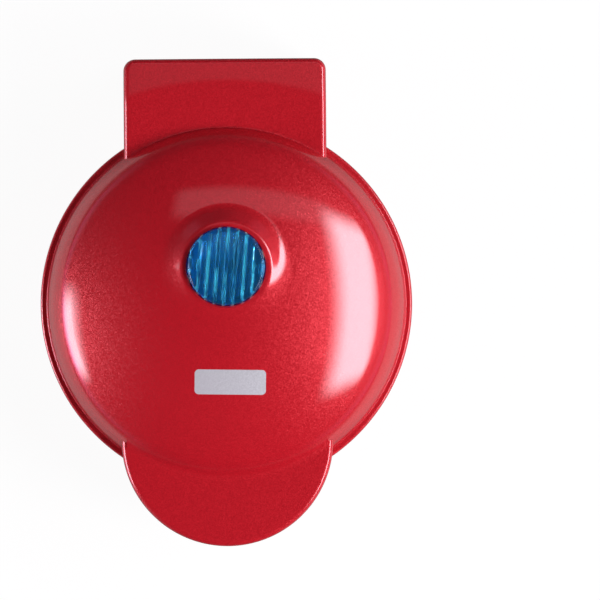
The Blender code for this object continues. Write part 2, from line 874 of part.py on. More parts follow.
def element_clamp(side, name, look, hinge=None):
    """Flat bar across the heater's ring, on the plate's centre stud."""
    half = clamp_length / 2 - clamp_width / 2
    outline = arc((half, 0), clamp_width / 2, -90, 90, 8) + arc((-half, 0), clamp_width / 2, 90, 270, 8)
    hole = arc((0, 0), stud_radius + fit_gap, 0, 360, hole_steps)[:-1]
    low, high = sorted((level(side, clamp_depth), level(side, clamp_depth + clamp_thickness)))
    return finish(extruded(name, [outline, hole], low, high), name, look, hinge)


def clamp_nut(side, name, look, hinge=None):
    outline = arc((0, 0), nut_radius, 0, 360, 6)[:-1]
    hole = arc((0, 0), stud_radius + fit_gap, 0, 360, hole_steps)[:-1]
    low, high = sorted((level(side, nut_depth), level(side, nut_depth + nut_height)))
    return finish(extruded(name, [outline, hole], low, high), name, look, hinge)


def heat_reflector(side, name, look, hinge=None):
    """Dished sheet behind the heater; its flange is held by the plate's screws."""
    outer = boss_circle + reflector_flange
    inner = frame_collar - ledge_width
    floor = inner - reflector_slope
    near, far = reflector_depth, reflector_depth + reflector_sheet
    profile = [(0, reflector_back), (floor, reflector_back), (inner, far), (outer, far), (outer, near)]
    profile += [(inner - reflector_sheet, near), (floor - reflector_sheet, reflector_floor)]
    profile += [(0, reflector_floor)]
    dish = turned(name, [(radius, level(side, depth)) for radius, depth in profile], middle_steps)
    low, high = sorted((level(side, near - sink), level(side, far + sink)))
    cut(dish, rods_at("flange_holes", screw_radius + fit_gap, low, high, boss_places()))
    low, high = sorted((level(side, near - sink), level(side, reflector_back + sink)))
    if side == UPWARD:
        cut(dish, box("lead_slot", (-lead_slot_half_width, floor - lead_slot_half_width, low),
                      (lead_slot_half_width, outer + overrun, high)))
    else:
        cut(dish, rod("thermostat_hole", thermostat_radius + clip_sheet, low, high,
                      (0, -thermostat_place), steps=small_steps))
    soften(dish)
    return finish(dish, name, look, hinge)


def plate_screws(side, name, look, hinge=None):
    """Three screws that hold the reflector and the plate to the frame's ledge."""
    seat = level(side, reflector_depth + reflector_sheet + fit_gap)
    heads = [(x, y, seat) for x, y in boss_places()]
    screws(name, heads, screw_radius, screw_head_radius, screw_head_height, plate_screw_length, look, hinge,
           points_down=side == UPWARD)


def lid_cover_screws(look, hinge):
    seat = level(UPWARD, half_gap + screw_head_height)
    heads = [(x, y, seat) for x, y in cover_screw_places()]
    screws("lid_cover_screw", heads, screw_radius, screw_head_radius, screw_head_height, cover_screw_length,
           look, hinge)


def indicator_lens(look, hinge):
    """Domed lens with a flange under the collar and straight flutes on its underside."""
    edge = collar_top - lens_edge_drop
    crown = collar_top + lens_rise
    rise = crown - edge
    sphere = (lens_radius ** 2 + rise ** 2) / (2 * rise)
    slope = math.degrees(math.acos(lens_radius / sphere))
    flange = lens_radius + lens_flange_width
    seat = lens_seat - fit_gap
    recess = lens_radius - lens_rim_width
    ceiling = crown - lens_thickness
    profile = arc((0, crown - sphere), sphere, 90, slope, 6)
    profile[0] = (0, crown)
    profile += [(lens_radius, seat), (flange, seat), (flange, lens_underside), (recess, lens_underside)]
    profile += [(recess, ceiling), (0, ceiling)]
    lens = turned("indicator_lens", profile, middle_steps, (0, lens_offset))
    grooves = []
    for index in range(flute_count):
        middle = (index - (flute_count - 1) / 2) * flute_pitch
        half = flute_pitch / 2 - seam
        length = math.sqrt(max(recess ** 2 - (abs(middle) + half) ** 2, half ** 2)) - sink
        groove = bpy.data.meshes.new("groove")
        shape = bmesh.new()
        bmesh.ops.create_cone(shape, cap_ends=True, segments=3, radius1=1, radius2=1, depth=2)
        turn = Matrix.Rotation(math.pi / 2, 4, "X")
        bmesh.ops.transform(shape, matrix=turn, verts=shape.verts)
        high = max(vert.co.z for vert in shape.verts)
        low = min(vert.co.z for vert in shape.verts)
        wide = max(vert.co.x for vert in shape.verts)
        for vert in shape.verts:
            share = (vert.co.z - low) / (high - low)
            if wide * 0.5 < abs(vert.co.x):
                share = 0
            vert.co.z = -sink + share * (flute_depth + sink)
            vert.co.x = vert.co.x / wide * half
            vert.co.y = vert.co.y * length
        shape.to_mesh(groove)
        shape.free()
        made = new_object("groove", groove)
        spin = Matrix.Rotation(math.radians(flute_turn), 4, "Z")
        made.matrix_world = Matrix.Translation((0, lens_offset, ceiling)) @ spin @ Matrix.Translation(
            (middle, 0, 0))
        grooves.append(made)
    cut(lens, joined("grooves", grooves))
    soften(lens)
    return finish(lens, "indicator_lens", look, hinge)


def lamp_cup_heights():
    return level(UPWARD, reflector_back + reflector_room), lens_underside - fit_gap


def lamp_housing(look, hinge):
    """White cup under the lens with two ears for its screws."""
    low, high = lamp_cup_heights()
    outer = lens_radius + lens_flange_width
    inner = outer - cup_wall
    profile = [(0, low + cup_wall), (inner, low + cup_wall), (inner, high), (outer, high), (outer, low)]
    profile += [(0, low)]
    cup = turned("lamp_housing", profile, middle_steps, (0, lens_offset))
    ear_high = cup_boss_heights()[0] - fit_gap
    ear_low = ear_high - cup_ear_height
    for reach in (cup_ear_reach, -cup_ear_reach):
        near = math.copysign(inner + sink, reach)
        ear = box("cup_ear", (min(near, reach), lens_offset - cup_ear_half_width, ear_low),
                  (max(near, reach), lens_offset + cup_ear_half_width, ear_high))
        add(cup, ear)
    cut(cup, rods_at("ear_holes", cup_screw_radius + fit_gap, ear_low - sink, ear_high + sink,
                     mirrored_cup_places()))
    middle = lamp_height()
    cut(cup, rod("lamp_lead_hole", lamp_hole_radius, lens_offset + inner - sink, lens_offset + outer + sink,
                 (0, middle), "Y", hole_steps))
    soften(cup)
    return finish(cup, "lamp_housing", look, hinge)


def lamp_height():
    return lamp_cup_heights()[0] + cup_wall + fit_gap + lamp_radius


def indicator_lamp(look, hinge):
    """Glass lamp that lies on the floor of its cup."""
    half = lamp_length / 2
    profile = [(0, half)] + arc((0, half - lamp_radius), lamp_radius, 90, 0, 3)[1:]
    profile += arc((0, lamp_radius - half), lamp_radius, 0, -90, 3)
    profile[-1] = (0, -half)
    lamp = turned("indicator_lamp", profile, hole_steps)
    lamp.matrix_world = Matrix.Translation((0, lens_offset, lamp_height())) @ Matrix.Rotation(
        math.pi / 2, 4, "Y")
    return finish(lamp, "indicator_lamp", look, hinge)


def lamp_housing_screws(look, hinge):
    seat = cup_boss_heights()[0] - 2 * fit_gap - cup_ear_height
    heads = [(x, y, seat) for x, y in mirrored_cup_places()]
    screws("lamp_housing_screw", heads, cup_screw_radius, cup_screw_head, cup_screw_head_height,
           cup_screw_length, look, hinge)


def lead_end(angle):
    """Height and reach of a lead's end near the hinge axis."""
    turn = math.radians(angle)
    return hinge_y + lead_start * math.cos(turn), parting_height + lead_start * math.sin(turn)


def leads(name, places, radius, look, hinge=None):
    """A pair of insulated wires, the left one the mirror of the right one."""
    for label, side in (("right", 1), ("left", -1)):
        route = smooth_route([(side * x, y, z) for x, y, z in places])
        wire = tube(f"{name}_{label}", route, radius, 1)
        soften(wire, 50)
        finish(wire, f"{name}_{label}", look, hinge)


def lid_leads(look, hinge):
    """Two heater leads and two lamp leads that run over the frame to the hinge."""
    end_y, end_z = lead_end(lid_lead_angle)
    bridge_z = parting_height + bridge_depth * math.tan(math.radians(180 - lid_lead_angle))
    heater_z = level(UPWARD, element_depth)
    panel_z = level(UPWARD, half_gap + frame_thickness) + fit_gap
    x = element_leg_half_gap
    over = frame_collar + 5 * lead_radius
    heater = [(x, element_leg_end + fit_gap, heater_z), (x, frame_collar - ledge_width / 2, heater_z)]
    heater += [(x, frame_collar, heater_z - lead_radius)]
    heater += [(x, frame_collar + 2 * lead_radius, heater_z - 3.4 * lead_radius)]
    heater += [(x, over, panel_z + 3 * lead_radius)]
    heater += [(x, bridge_front - 4 * lead_radius, panel_z + 2 * lead_radius)]
    heater += [(hinge_lead_place, bridge_front, bridge_z), (hinge_lead_place, end_y, end_z)]
    leads("upper_heater_lead", heater, lead_radius, look, hinge)

    x = lamp_lead_place
    cup_rear = lens_offset + lens_radius + lens_flange_width
    back_z = level(UPWARD, reflector_back) + 2 * lamp_lead_radius + fit_gap
    inner = frame_collar - ledge_width
    lamp = [(x, cup_rear + fit_gap, lamp_height()), (x, (cup_rear + inner) / 2, back_z)]
    lamp += [(x, inner, level(UPWARD, reflector_depth) + 2 * lamp_lead_radius)]
    lamp += [(x, frame_collar - ledge_width / 2, level(UPWARD, reflector_depth))]
    lamp += [(x, frame_collar, heater_z)]
    lamp += [(x, frame_collar + 2 * lead_radius, heater_z - 3 * lead_radius)]
    lamp += [(x, over, panel_z + 3 * lead_radius)]
    lamp += [(x, bridge_front - 4 * lead_radius, panel_z + 2 * lead_radius)]
    lamp += [(x, bridge_front, bridge_z)]
    leads("lamp_lead", lamp, lamp_lead_radius, look, hinge)


def hinge_pin(side, look, hinge):
    name = "hinge_pin_right" if side > 0 else "hinge_pin_left"
    low = knuckle_inner + pin_floor + fit_gap
    high = block_half_width - pin_recess
    ends = (low, high) if side > 0 else (-high, -low)
    pin = hinge_rod(name, pin_radius, *ends, small_steps)
    soften(pin)
    return finish(pin, name, look, hinge)


def bowl_corner_centre():
    draft = math.radians(bowl_draft)
    height = pan_height + bowl_corner
    start = height - bowl_corner * math.sin(draft)
    drop = parting_height - lip_height - start
    reach = rim_radius - lip_step - drop * math.tan(draft) - bowl_corner * math.cos(draft)
    return reach, height


def base_outside():
    """The base's outer form: bowl, lip, hinge block and tab."""
    lip_low = parting_height - lip_height
    high = parting_height + overrun
    profile = [(0, high), (rim_radius, high)]
    profile += arc((rim_radius - lip_rounding, lip_low + lip_rounding), lip_rounding, 0, -90, 2)
    profile += [(rim_radius - lip_step, lip_low)]
    profile += arc(bowl_corner_centre(), bowl_corner, -bowl_draft, -90, 5)
    profile += [(0, pan_height)]
    body = turned("base_bowl", profile, round_steps)
    outline = block_outline(0, rim_radius / 2, block_reach, block_corner)
    block = bevel(extruded("base_block", [outline], pan_height + block_floor_step, high + overrun),
                  edge_rounding)
    tab = bevel(extruded("base_tab", [tab_outline(0, tab_centre / 2)], parting_height - tab_drop,
                         high + 2 * overrun), edge_rounding)
    return add(body, block, tab)


def base_cavity():
    high = parting_height + 5 * overrun
    seat = parting_height - half_gap - frame_thickness - fit_gap
    flank = rim_radius - lip_step - wall
    inner = rim_radius - lip_wall
    profile = [(0, high), (inner, high), (inner, seat), (flank, seat)]
    profile += [(flank, parting_height - lip_height)]
    profile += arc(bowl_corner_centre(), bowl_corner - wall, -bowl_draft, -90, 4)
    profile += [(0, pan_height + wall)]
    bowl = turned("base_bowl_inside", profile, round_steps)
    outline = block_outline(wall, rim_radius / 2, block_reach - wall, block_corner - wall)
    block = extruded("base_block_inside", [outline], pan_height + block_floor_step + wall, high + overrun)
    tab = extruded("base_tab_inside", [tab_outline(wall, tab_centre / 2)],
                   parting_height - tab_drop + wall, high + 2 * overrun)
    return [bowl, block, tab]


def swing_room():
    """Room in the base's block for the knuckles and for the lid's rear face when it is open."""
    stop = 360 - opening_angle
    tilt = math.radians(opening_angle - 90)
    high = parting_height + 2 * knuckle_radius
    far = hinge_y + 2 * hinge_inset
    points = [(hinge_y - hinge_relief, high)]
    points += arc((hinge_y, parting_height), hinge_relief, 180, stop, 10)
    last = points[-1]
    points += [(far, last[1] - (far - last[0]) * math.tan(tilt)), (far, high)]
    wide = block_half_width + overrun
    return extruded("swing_room", [points], -wide, wide, "X")


def base_columns(shell):
    """Screw columns that rise from the pan and from the tab's floor, open below."""
    for place, drop in base_post_places():
        on_block = place[1] > 0
        floor = pan_height + block_floor_step if on_block else parting_height - tab_drop
        top = level(DOWNWARD, drop) - fit_gap
        add(shell, rod("column", well_radius + column_wall, floor + wall / 2, top, place))
    for place, drop in base_post_places():
        top = level(DOWNWARD, drop) - fit_gap
        cut(shell, rod("well", well_radius, 0, top - column_seat, place, steps=hole_steps))
        cut(shell, rod("column_hole", screw_radius + fit_gap, 0, top + sink, place, steps=hole_steps))


def base_shell(look):
    """Painted outer bowl of the base with its hinge block, tab, ears and lead guard."""
    shell = base_outside()
    cut(shell, *base_cavity())
    trough_low = parting_height - hinge_relief - trough_floor
    half = block_half_width - wall / 2
    add(shell, box("trough", (-half, bridge_front, trough_low),
                   (half, block_reach - wall / 2, parting_height + overrun / 2)))
    base_columns(shell)
    far = 2 * block_reach
    cut(shell, box("above_base", (-far, -far, parting_height - half_gap), (far, far, far)))
    cut(shell, swing_room())
    cut(shell, box("lead_hole", (-window_half_width, hinge_y - hinge_relief + fit_gap, trough_low - sink),
                   (window_half_width, hinge_y - guard_neck - fit_gap, parting_height)))

    neck_low = trough_low + trough_floor / 2
    neck_high = parting_height - 0.4 * knuckle_radius
    neck_front = hinge_y - knuckle_radius + neck_reach
    neck_rear = hinge_y + neck_reach
    ears = both_sides("ear", ear_inner, ear_outer, lambda n, a, b: hinge_rod(n, knuckle_radius, a, b))
    ears += both_sides("ear_neck", ear_inner, ear_outer,
                       lambda n, a, b: box(n, (a, neck_front, neck_low), (b, neck_rear, neck_high)))
    axis = (hinge_y, parting_height)
    guard = arc(axis, knuckle_radius, guard_start, guard_end, 8)
    guard += arc(axis, knuckle_radius - guard_wall, guard_end, guard_start, 8)
    ears.append(extruded("lead_guard", [guard], -guard_half_width, guard_half_width, "X"))
    inset = guard_half_width - seam
    ears.append(box("guard_neck", (-inset, hinge_y - guard_neck, neck_low),
                    (inset, neck_rear, parting_height - knuckle_radius + guard_wall / 2)))
    add(shell, *ears)
    cut(shell, *pin_bores("base_pin_bore"))

    feet = [(x, y) for x in (-foot_place, foot_place) for y in (-foot_place, foot_place)]
    cut(shell, rods_at("foot_seats", foot_radius + fit_gap, pan_height - overrun, pan_height + foot_seat,
                       feet, small_steps))
    cut(shell, rod("gland_hole", gland_radius + fit_gap, block_reach - wall - sink, block_reach + overrun,
                   (0, gland_height), "Y", small_steps))
    soften(shell)
    return finish(shell, "base_shell", look)


def base_cover_screws(look):
    heads = []
    for place, drop in base_post_places():
        heads.append((*place, level(DOWNWARD, drop) - column_seat - 2 * fit_gap))
    screws("base_cover_screw", heads, screw_radius, screw_head_radius, screw_head_height, cover_screw_length,
           look)


def foot(name, place, look):
    top = pan_height + foot_seat - fit_gap
    profile = [(0, top), (foot_radius, top)]
    profile += arc((foot_radius - foot_rounding, foot_rounding), foot_rounding, 0, -90, 2) + [(0, 0)]
    made = turned(name, profile, small_steps, place)
    soften(made)
    return finish(made, name, look)


def cord_gland(look):
    """Bush in the rear wall with an inner flange."""
    outer_end = block_reach - fit_gap
    flange_end = block_reach - wall - fit_gap
    inner_end = flange_end - gland_flange_depth
    wide = gland_radius + gland_flange
    profile = [(gland_bore, outer_end), (gland_radius, outer_end), (gland_radius, flange_end)]
    profile += [(wide, flange_end), (wide, inner_end), (gland_bore, inner_end)]
    gland = turned("cord_gland", profile, small_steps, closed=True)
    gland.matrix_world = Matrix.Translation((0, 0, gland_height)) @ Matrix.Rotation(-math.pi / 2, 4, "X")
    soften(gland)
    return finish(gland, "cord_gland", look)


def thermostat(look):
    """Disc thermostat against the lower plate's back, with two blades."""
    near = plate_back + fit_gap
    far = near + thermostat_height
    step = near + thermostat_base
    profile = [(0, near), (thermostat_radius, near), (thermostat_radius, step), (thermostat_body, step)]
    profile += [(thermostat_body, far), (0, far)]
    profile = [(radius, level(DOWNWARD, depth)) for radius, depth in profile]
    body = turned("thermostat", profile, small_steps, (0, -thermostat_place))
    thick, broad, tall = thermostat_blade
    for x in (-thermostat_blade_place, thermostat_blade_place):
        add(body, box("blade", (x - thick / 2, -thermostat_place - broad / 2, level(DOWNWARD, far + tall)),
                      (x + thick / 2, -thermostat_place + broad / 2, level(DOWNWARD, far - sink))))
    soften(body)
    return finish(body, "thermostat", look)


def thermal_fuse(look):
    depth = plate_back + fit_gap + fuse_radius
    half = fuse_length / 2
    fuse = rod("thermal_fuse", fuse_radius, -half, half, (fuse_place, level(DOWNWARD, depth)), "X",
               hole_steps)
    soften(fuse)
    return finish(fuse, "thermal_fuse", look)


def fuse_clip(look):
    """Strap that arches over the fuse and stands on the plate's back."""
    near = plate_back + fit_gap
    inner = fuse_radius + fit_gap
    outer = inner + clip_sheet
    foot_end = outer + clip_foot
    centre = (0, near + fuse_radius)
    path = [(-foot_end, near), (-foot_end, near + clip_sheet), (-outer, near + clip_sheet)]
    path += arc(centre, outer, 180, 0, 8)
    path += [(outer, near + clip_sheet), (foot_end, near + clip_sheet), (foot_end, near), (inner, near)]
    path += arc(centre, inner, 0, 180, 8) + [(-inner, near)]
    outline = [(fuse_place + y, level(DOWNWARD, depth)) for y, depth in path]
    clip = extruded("fuse_clip", [outline], -clip_width / 2, clip_width / 2, "X")
    return finish(clip, "fuse_clip", look)


def terminal_floor():
    return pan_height + block_floor_step + wall + fit_gap


def terminal_places():
    return [(index - 1.5) * terminal_pitch for index in range(4)]


def terminal_block(look):
    """Moulded block with four wire ways."""
    wide, deep, tall = terminal_size
    floor = terminal_floor()
    block = box("terminal_block", (-wide / 2, terminal_place - deep / 2, floor),
                (wide / 2, terminal_place + deep / 2, floor + tall))
    for x in terminal_places():
        cut(block, rod("wire_way", terminal_hole, terminal_place - deep, terminal_place + deep,
                       (x, floor + tall / 2), "Y", hole_steps))
    return finish(block, "terminal_block", look)


def base_leads(look):
    """Leads from the terminal block to the lower heater, the thermostat and the hinge."""
    wide, deep, tall = terminal_size
    way_z = terminal_floor() + tall / 2
    front = terminal_place - deep / 2 - fit_gap
    rear = terminal_place + deep / 2 + fit_gap
    inner_x = terminal_places()[2]
    outer_x = terminal_places()[3]
    heater_z = level(DOWNWARD, element_depth)
    x = element_leg_half_gap
    heater = [(x, element_leg_end + fit_gap, heater_z), (x, frame_collar - ledge_width / 2, heater_z)]
    heater += [(x, frame_collar, heater_z - lead_radius)]
    heater += [(x + lead_radius, front - 3 * lead_radius, (heater_z + way_z) / 2)]
    heater += [(outer_x, front - lead_radius, way_z + lead_radius), (outer_x, front, way_z)]
    leads("lower_heater_lead", heater, lead_radius, look)

    end_y, end_z = lead_end(base_lead_angle)
    hole_y = hinge_y - hinge_relief / 2
    trough_low = parting_height - hinge_relief - trough_floor
    x = hinge_lead_place
    hinge_lead = [(outer_x, rear, way_z), (outer_x - lead_radius, rear + 3 * lead_radius, way_z + lead_radius)]
    hinge_lead += [(x, hole_y, (way_z + trough_low) / 2), (x, hole_y, trough_low)]
    hinge_lead += [(x, end_y - lead_start / 2, end_z - lead_start), (x, end_y, end_z)]
    leads("hinge_lead", hinge_lead, lead_radius, look)

    blade_z = level(DOWNWARD, plate_back + fit_gap + thermostat_height + thermostat_blade[2]) - fit_gap
    floor_z = terminal_floor() + lead_radius
    x = thermostat_blade_place
    spread = 4 * thermostat_blade_place
    start = -thermostat_place
    control = [(x, start, blade_z), (x, start, blade_z - lead_radius)]
    control += [(x + lead_radius, start + lead_radius, (blade_z + floor_z) / 2)]
    control += [(3 * x, start / 2, floor_z), (spread, -start / 2, floor_z), (spread, element_ring, floor_z)]
    control += [(2.5 * x, frame_collar - ledge_width / 2, floor_z)]
    control += [(inner_x, front - 3 * lead_radius, (floor_z + way_z) / 2), (inner_x, front, way_z)]
    leads("control_lead", control, lead_radius, look)


def build():
    paint = material("red_paint", (0.45, 0.012, 0.02), 0.28, 0.35)
    moulding = material("red_plastic", (0.42, 0.012, 0.02), 0.38)
    coating = material("nonstick_coating", (0.03, 0.03, 0.033), 0.45)
    steel = material("steel", (0.56, 0.56, 0.58), 0.3, 1.0)
    sheath = material("heater_sheath", (0.2, 0.19, 0.18), 0.5, 0.8)
    sheet = material("aluminium_sheet", (0.8, 0.8, 0.82), 0.35, 1.0)
    blue = material("blue_lens", (0.01, 0.12, 0.5), 0.05, 0.0, 0.6)
    white = material("white_plastic", (0.8, 0.8, 0.78), 0.5)
    glass = material("lamp_glass", (0.9, 0.6, 0.4), 0.05, 0.0, 0.5)
    rubber = material("black_rubber", (0.02, 0.02, 0.02), 0.8)
    insulation = material("lead_insulation", (0.75, 0.73, 0.68), 0.6)
    phenolic = material("brown_phenolic", (0.08, 0.04, 0.02), 0.5)

    hinge = bpy.data.objects.new("hinge_axis", None)
    hinge.location = (0, hinge_y, parting_height)
    part.objects.link(hinge)
    bpy.context.view_layer.update()

    lid_shell(paint, hinge)
    lid_inner_frame(moulding, hinge)
    cooking_plate(UPWARD, "upper_cooking_plate", coating, hinge)
    heating_element(UPWARD, "upper_heating_element", sheath, hinge)
    element_clamp(UPWARD, "upper_element_clamp", steel, hinge)
    clamp_nut(UPWARD, "upper_clamp_nut", steel, hinge)
    heat_reflector(UPWARD, "upper_heat_reflector", sheet, hinge)
    plate_screws(UPWARD, "upper_plate_screw", steel, hinge)
    lid_cover_screws(steel, hinge)
    indicator_lens(blue, hinge)
    lamp_housing(white, hinge)
    indicator_lamp(glass, hinge)
    lamp_housing_screws(steel, hinge)
    lid_leads(insulation, hinge)
    hinge_pin(-1, steel, hinge)
    hinge_pin(1, steel, hinge)

    base_shell(paint)
    base_inner_frame(moulding)
    cooking_plate(DOWNWARD, "lower_cooking_plate", coating)
    heating_element(DOWNWARD, "lower_heating_element", sheath)
    element_clamp(DOWNWARD, "lower_element_clamp", steel)
    clamp_nut(DOWNWARD, "lower_clamp_nut", steel)
    heat_reflector(DOWNWARD, "lower_heat_reflector", sheet)
    plate_screws(DOWNWARD, "lower_plate_screw", steel)
    base_cover_screws(steel)
    thermostat(phenolic)
    thermal_fuse(white)
    fuse_clip(steel)
    terminal_block(phenolic)
    base_leads(insulation)
    cord_gland(rubber)
    foot("foot_front_left", (-foot_place, -foot_place), rubber)
    foot("foot_front_right", (foot_place, -foot_place), rubber)
    foot("foot_rear_left", (-foot_place, foot_place), rubber)
    foot("foot_rear_right", (foot_place, foot_place), rubber)


build()
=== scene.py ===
import math

import bmesh
import bpy
from mathutils import Matrix, Vector


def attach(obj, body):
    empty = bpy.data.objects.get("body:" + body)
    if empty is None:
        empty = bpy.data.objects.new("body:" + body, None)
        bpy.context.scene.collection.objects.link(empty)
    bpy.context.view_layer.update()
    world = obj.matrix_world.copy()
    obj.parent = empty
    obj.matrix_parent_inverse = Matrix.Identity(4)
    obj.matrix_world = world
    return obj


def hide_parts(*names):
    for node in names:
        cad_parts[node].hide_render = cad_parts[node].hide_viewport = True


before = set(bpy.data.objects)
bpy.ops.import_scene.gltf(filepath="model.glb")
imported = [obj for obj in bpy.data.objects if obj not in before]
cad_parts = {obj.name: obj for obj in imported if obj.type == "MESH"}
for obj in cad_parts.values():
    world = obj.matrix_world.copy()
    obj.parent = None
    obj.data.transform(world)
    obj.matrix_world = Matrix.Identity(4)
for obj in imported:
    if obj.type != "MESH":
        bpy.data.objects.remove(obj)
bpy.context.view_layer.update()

# Mini waffle maker, seen from straight above. Lengths are in millimetres, apart from the studio's.
# The dome's axis is Z, the handle tab points to -Y and the hinge is at +Y.
mm = 0.001

housing = {
    "rim": 63.5,
    "parting": 34.0,
    "halfGap": 0.4,
    "lipHeight": 5.2,
    "lipStep": 2.3,
    "lipWall": 1.8,
    "lipRound": 1.0,
    "lipHollow": 0.35,
    "wall": 2.2,
    "blockHalf": 34.5,
    "blockReach": 83.5,
    "blockCorner": 4.0,
    "tabRadius": 36.0,
    "tabReach": 82.5,
    "edgeRound": 1.8,
}
hinge = {
    "y": 77.5,
    "z": 34.0,
    "knuckle": 6.0,
    "relief": 6.5,
    "cheek": (27.5, 34.2),
    "ear": (19.5, 27.0),
    "inner": (12.0, 19.0),
    "guard": 11.5,
    "pin": 2.2,
    "pinStart": 13.2,
}
rim, parting, wall = housing["rim"], housing["parting"], housing["wall"]
edgeRound = housing["edgeRound"]
foot = rim - housing["lipStep"]  # where the dome's and the bowl's walls meet their lips
lipTop, lipLow = parting + housing["lipHeight"], parting - housing["lipHeight"]
lipRound, lipHollow = housing["lipRound"], housing["lipHollow"]
tabMiddle = housing["tabRadius"] - housing["tabReach"]
hingeSpot = (hinge["y"], hinge["z"])


# Small tools

def addObject(name, mesh):
    made = bpy.data.objects.new(name, mesh)
    bpy.context.scene.collection.objects.link(made)
    return made


# Mesh in metres from a bmesh drawn in millimetres.
def meshFrom(name, shape):
    bmesh.ops.recalc_face_normals(shape, faces=shape.faces)
    bmesh.ops.scale(shape, vec=(mm, mm, mm), verts=shape.verts)
    mesh = bpy.data.meshes.new(name)
    shape.to_mesh(mesh)
    shape.free()
    return addObject(name, mesh)


# Skins closed rings of points, which have one count or are a single point.
def ringLoft(name, rings, around=False):
    shape = bmesh.new()
    rows = [[shape.verts.new(point) for point in ring] for ring in rings]
    pairs = list(zip(rows, rows[1:]))
    if around:
        pairs.append((rows[-1], rows[0]))
    for upper, lower in pairs:
        count = max(len(upper), len(lower))
        for index in range(count):
            after = (index + 1) % count
            if len(upper) == 1:
                corners = (upper[0], lower[index], lower[after])
            elif len(lower) == 1:
                corners = (upper[index], lower[0], upper[after])
            else:
                corners = (upper[index], lower[index], lower[after], upper[after])
            shape.faces.new(corners)
    if not around:
        for row in (rows[0], rows[-1][::-1]):
            if len(row) > 1:
                shape.faces.new(row)
    return meshFrom(name, shape)


def circleRing(radius, z, steps, centre=(0, 0)):
    if radius <= 0:
        return [(centre[0], centre[1], z)]
    ring = []
    for index in range(steps):
        turn = 2 * math.pi * index / steps
        ring.append((centre[0] + radius * math.cos(turn), centre[1] + radius * math.sin(turn), z))
    return ring


# A (radius, height) profile turned about a vertical axis.
def lathe(name, profile, steps=192, centre=(0, 0), closed=False):
    return ringLoft(name, [circleRing(radius, z, steps, centre) for radius, z in profile], closed)


def arcPoints(centre, radius, start, end, steps):
    points = []
    for index in range(steps + 1):
        turn = math.radians(start + (end - start) * index / steps)
        points.append((centre[0] + radius * math.cos(turn), centre[1] + radius * math.sin(turn)))
    return points


# A flat outline pulled from low to high; along X the outline is drawn in Y and Z.
def prism(name, outline, low, high, along="Z"):
    return ringLoft(name, [[(x, y, level) if along == "Z" else (level, x, y) for x, y in outline]
                           for level in (high, low)])


# A round bar along X, Y or Z; place holds the other two coordinates.
def rodAlong(name, axis, radius, low, high, place, steps=48):
    order = {"X": (2, 0, 1), "Y": (0, 2, 1), "Z": (0, 1, 2)}[axis]
    rings = [circleRing(radius, level, steps, place) for level in (low, high)]
    return ringLoft(name, [[[point[n] for n in order] for point in ring] for ring in rings])


def slab(name, low, high):
    outline = [(low[0], low[1]), (high[0], low[1]), (high[0], high[1]), (low[0], high[1])]
    return prism(name, outline, low[2], high[2])


# Turns what the modifiers make into the object's own plain mesh.
def applyAll(thing):
    bpy.context.view_layer.update()
    depsgraph = bpy.context.evaluated_depsgraph_get()
    mesh = bpy.data.meshes.new_from_object(thing.evaluated_get(depsgraph))
    thing.modifiers.clear()
    thing.data = mesh
    return thing


def boolean(thing, others, operation):
    for other in others:
        step = thing.modifiers.new("step", "BOOLEAN")
        step.object = other
        step.operation = operation
        step.solver = "EXACT"
        applyAll(thing)
        bpy.data.objects.remove(other)
    return thing


def unite(thing, *others):
    return boolean(thing, others, "UNION")


def carve(thing, *others):
    return boolean(thing, others, "DIFFERENCE")


def trim(thing, room):
    return boolean(thing, [room], "INTERSECT")


def smoothOut(thing, angle=32):
    shape = bmesh.new()
    shape.from_mesh(thing.data)
    bmesh.ops.remove_doubles(shape, verts=shape.verts, dist=0.000002)
    bmesh.ops.dissolve_degenerate(shape, edges=shape.edges, dist=0.000002)
    shape.to_mesh(thing.data)
    shape.free()
    thing.data.shade_smooth()
    thing.data.set_sharp_from_angle(angle=math.radians(angle))
    return thing


# Gives a finished piece its material, its body and the CAD nodes that it stands for.
def wear(thing, look, body, nodes):
    thing.data.materials.clear()
    thing.data.materials.append(looks[look])
    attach(thing, body)
    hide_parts(*nodes)
    print(thing.name + ":", len(thing.data.polygons), "faces")
    return thing


def mirrored(name, maker, low, high):
    return [maker(name + "Right", low, high), maker(name + "Left", -high, -low)]


# Round bars on the hinge's axis, the same on both sides.
def hingeBars(name, span, radius):
    return mirrored(name, lambda label, a, b: rodAlong(label, "X", radius, a, b, hingeSpot), *span)


# Nothing below -soft, then a rise that reaches a slope of 1 at soft.
def softRamp(value, soft):
    return max(value, 0) if abs(value) > soft else (value + soft) ** 2 / (4 * soft)


# Height of a depth measured from the parting plane, up into the lid (1) or down into the base (-1).
def level(side, depth):
    return parting + side * depth


def levels(side, *depths):
    return sorted(level(side, depth) for depth in depths)


# Materials

def addNode(tree, kind, values=None, **traits):
    node = tree.nodes.new(kind)
    for trait, value in traits.items():
        setattr(node, trait, value)
    for socket, value in (values or {}).items():
        if isinstance(value, bpy.types.NodeSocket):
            tree.links.new(value, node.inputs[socket])
        else:
            node.inputs[socket].default_value = value
    return node


shaderSockets = {
    "colour": "Base Color",
    "rough": "Roughness",
    "metal": "Metallic",
    "ior": "IOR",
    "through": "Transmission Weight",
    "specular": "Specular IOR Level",
    "coat": "Coat Weight",
    "coatRough": "Coat Roughness",
    "coatIor": "Coat IOR",
    "normal": "Normal",
    "coatNormal": "Coat Normal",
}


# A material with its Principled shader and the object's own coordinates.
def newLook(name, **values):
    look = bpy.data.materials.new(name)
    look.use_nodes = True
    tree = look.node_tree
    shader = tree.nodes["Principled BSDF"]
    for label, value in values.items():
        value = (*value, 1) if isinstance(value, tuple) else value
        shader.inputs[shaderSockets[label]].default_value = value
    return look, tree, shader, addNode(tree, "ShaderNodeTexCoord").outputs["Object"]


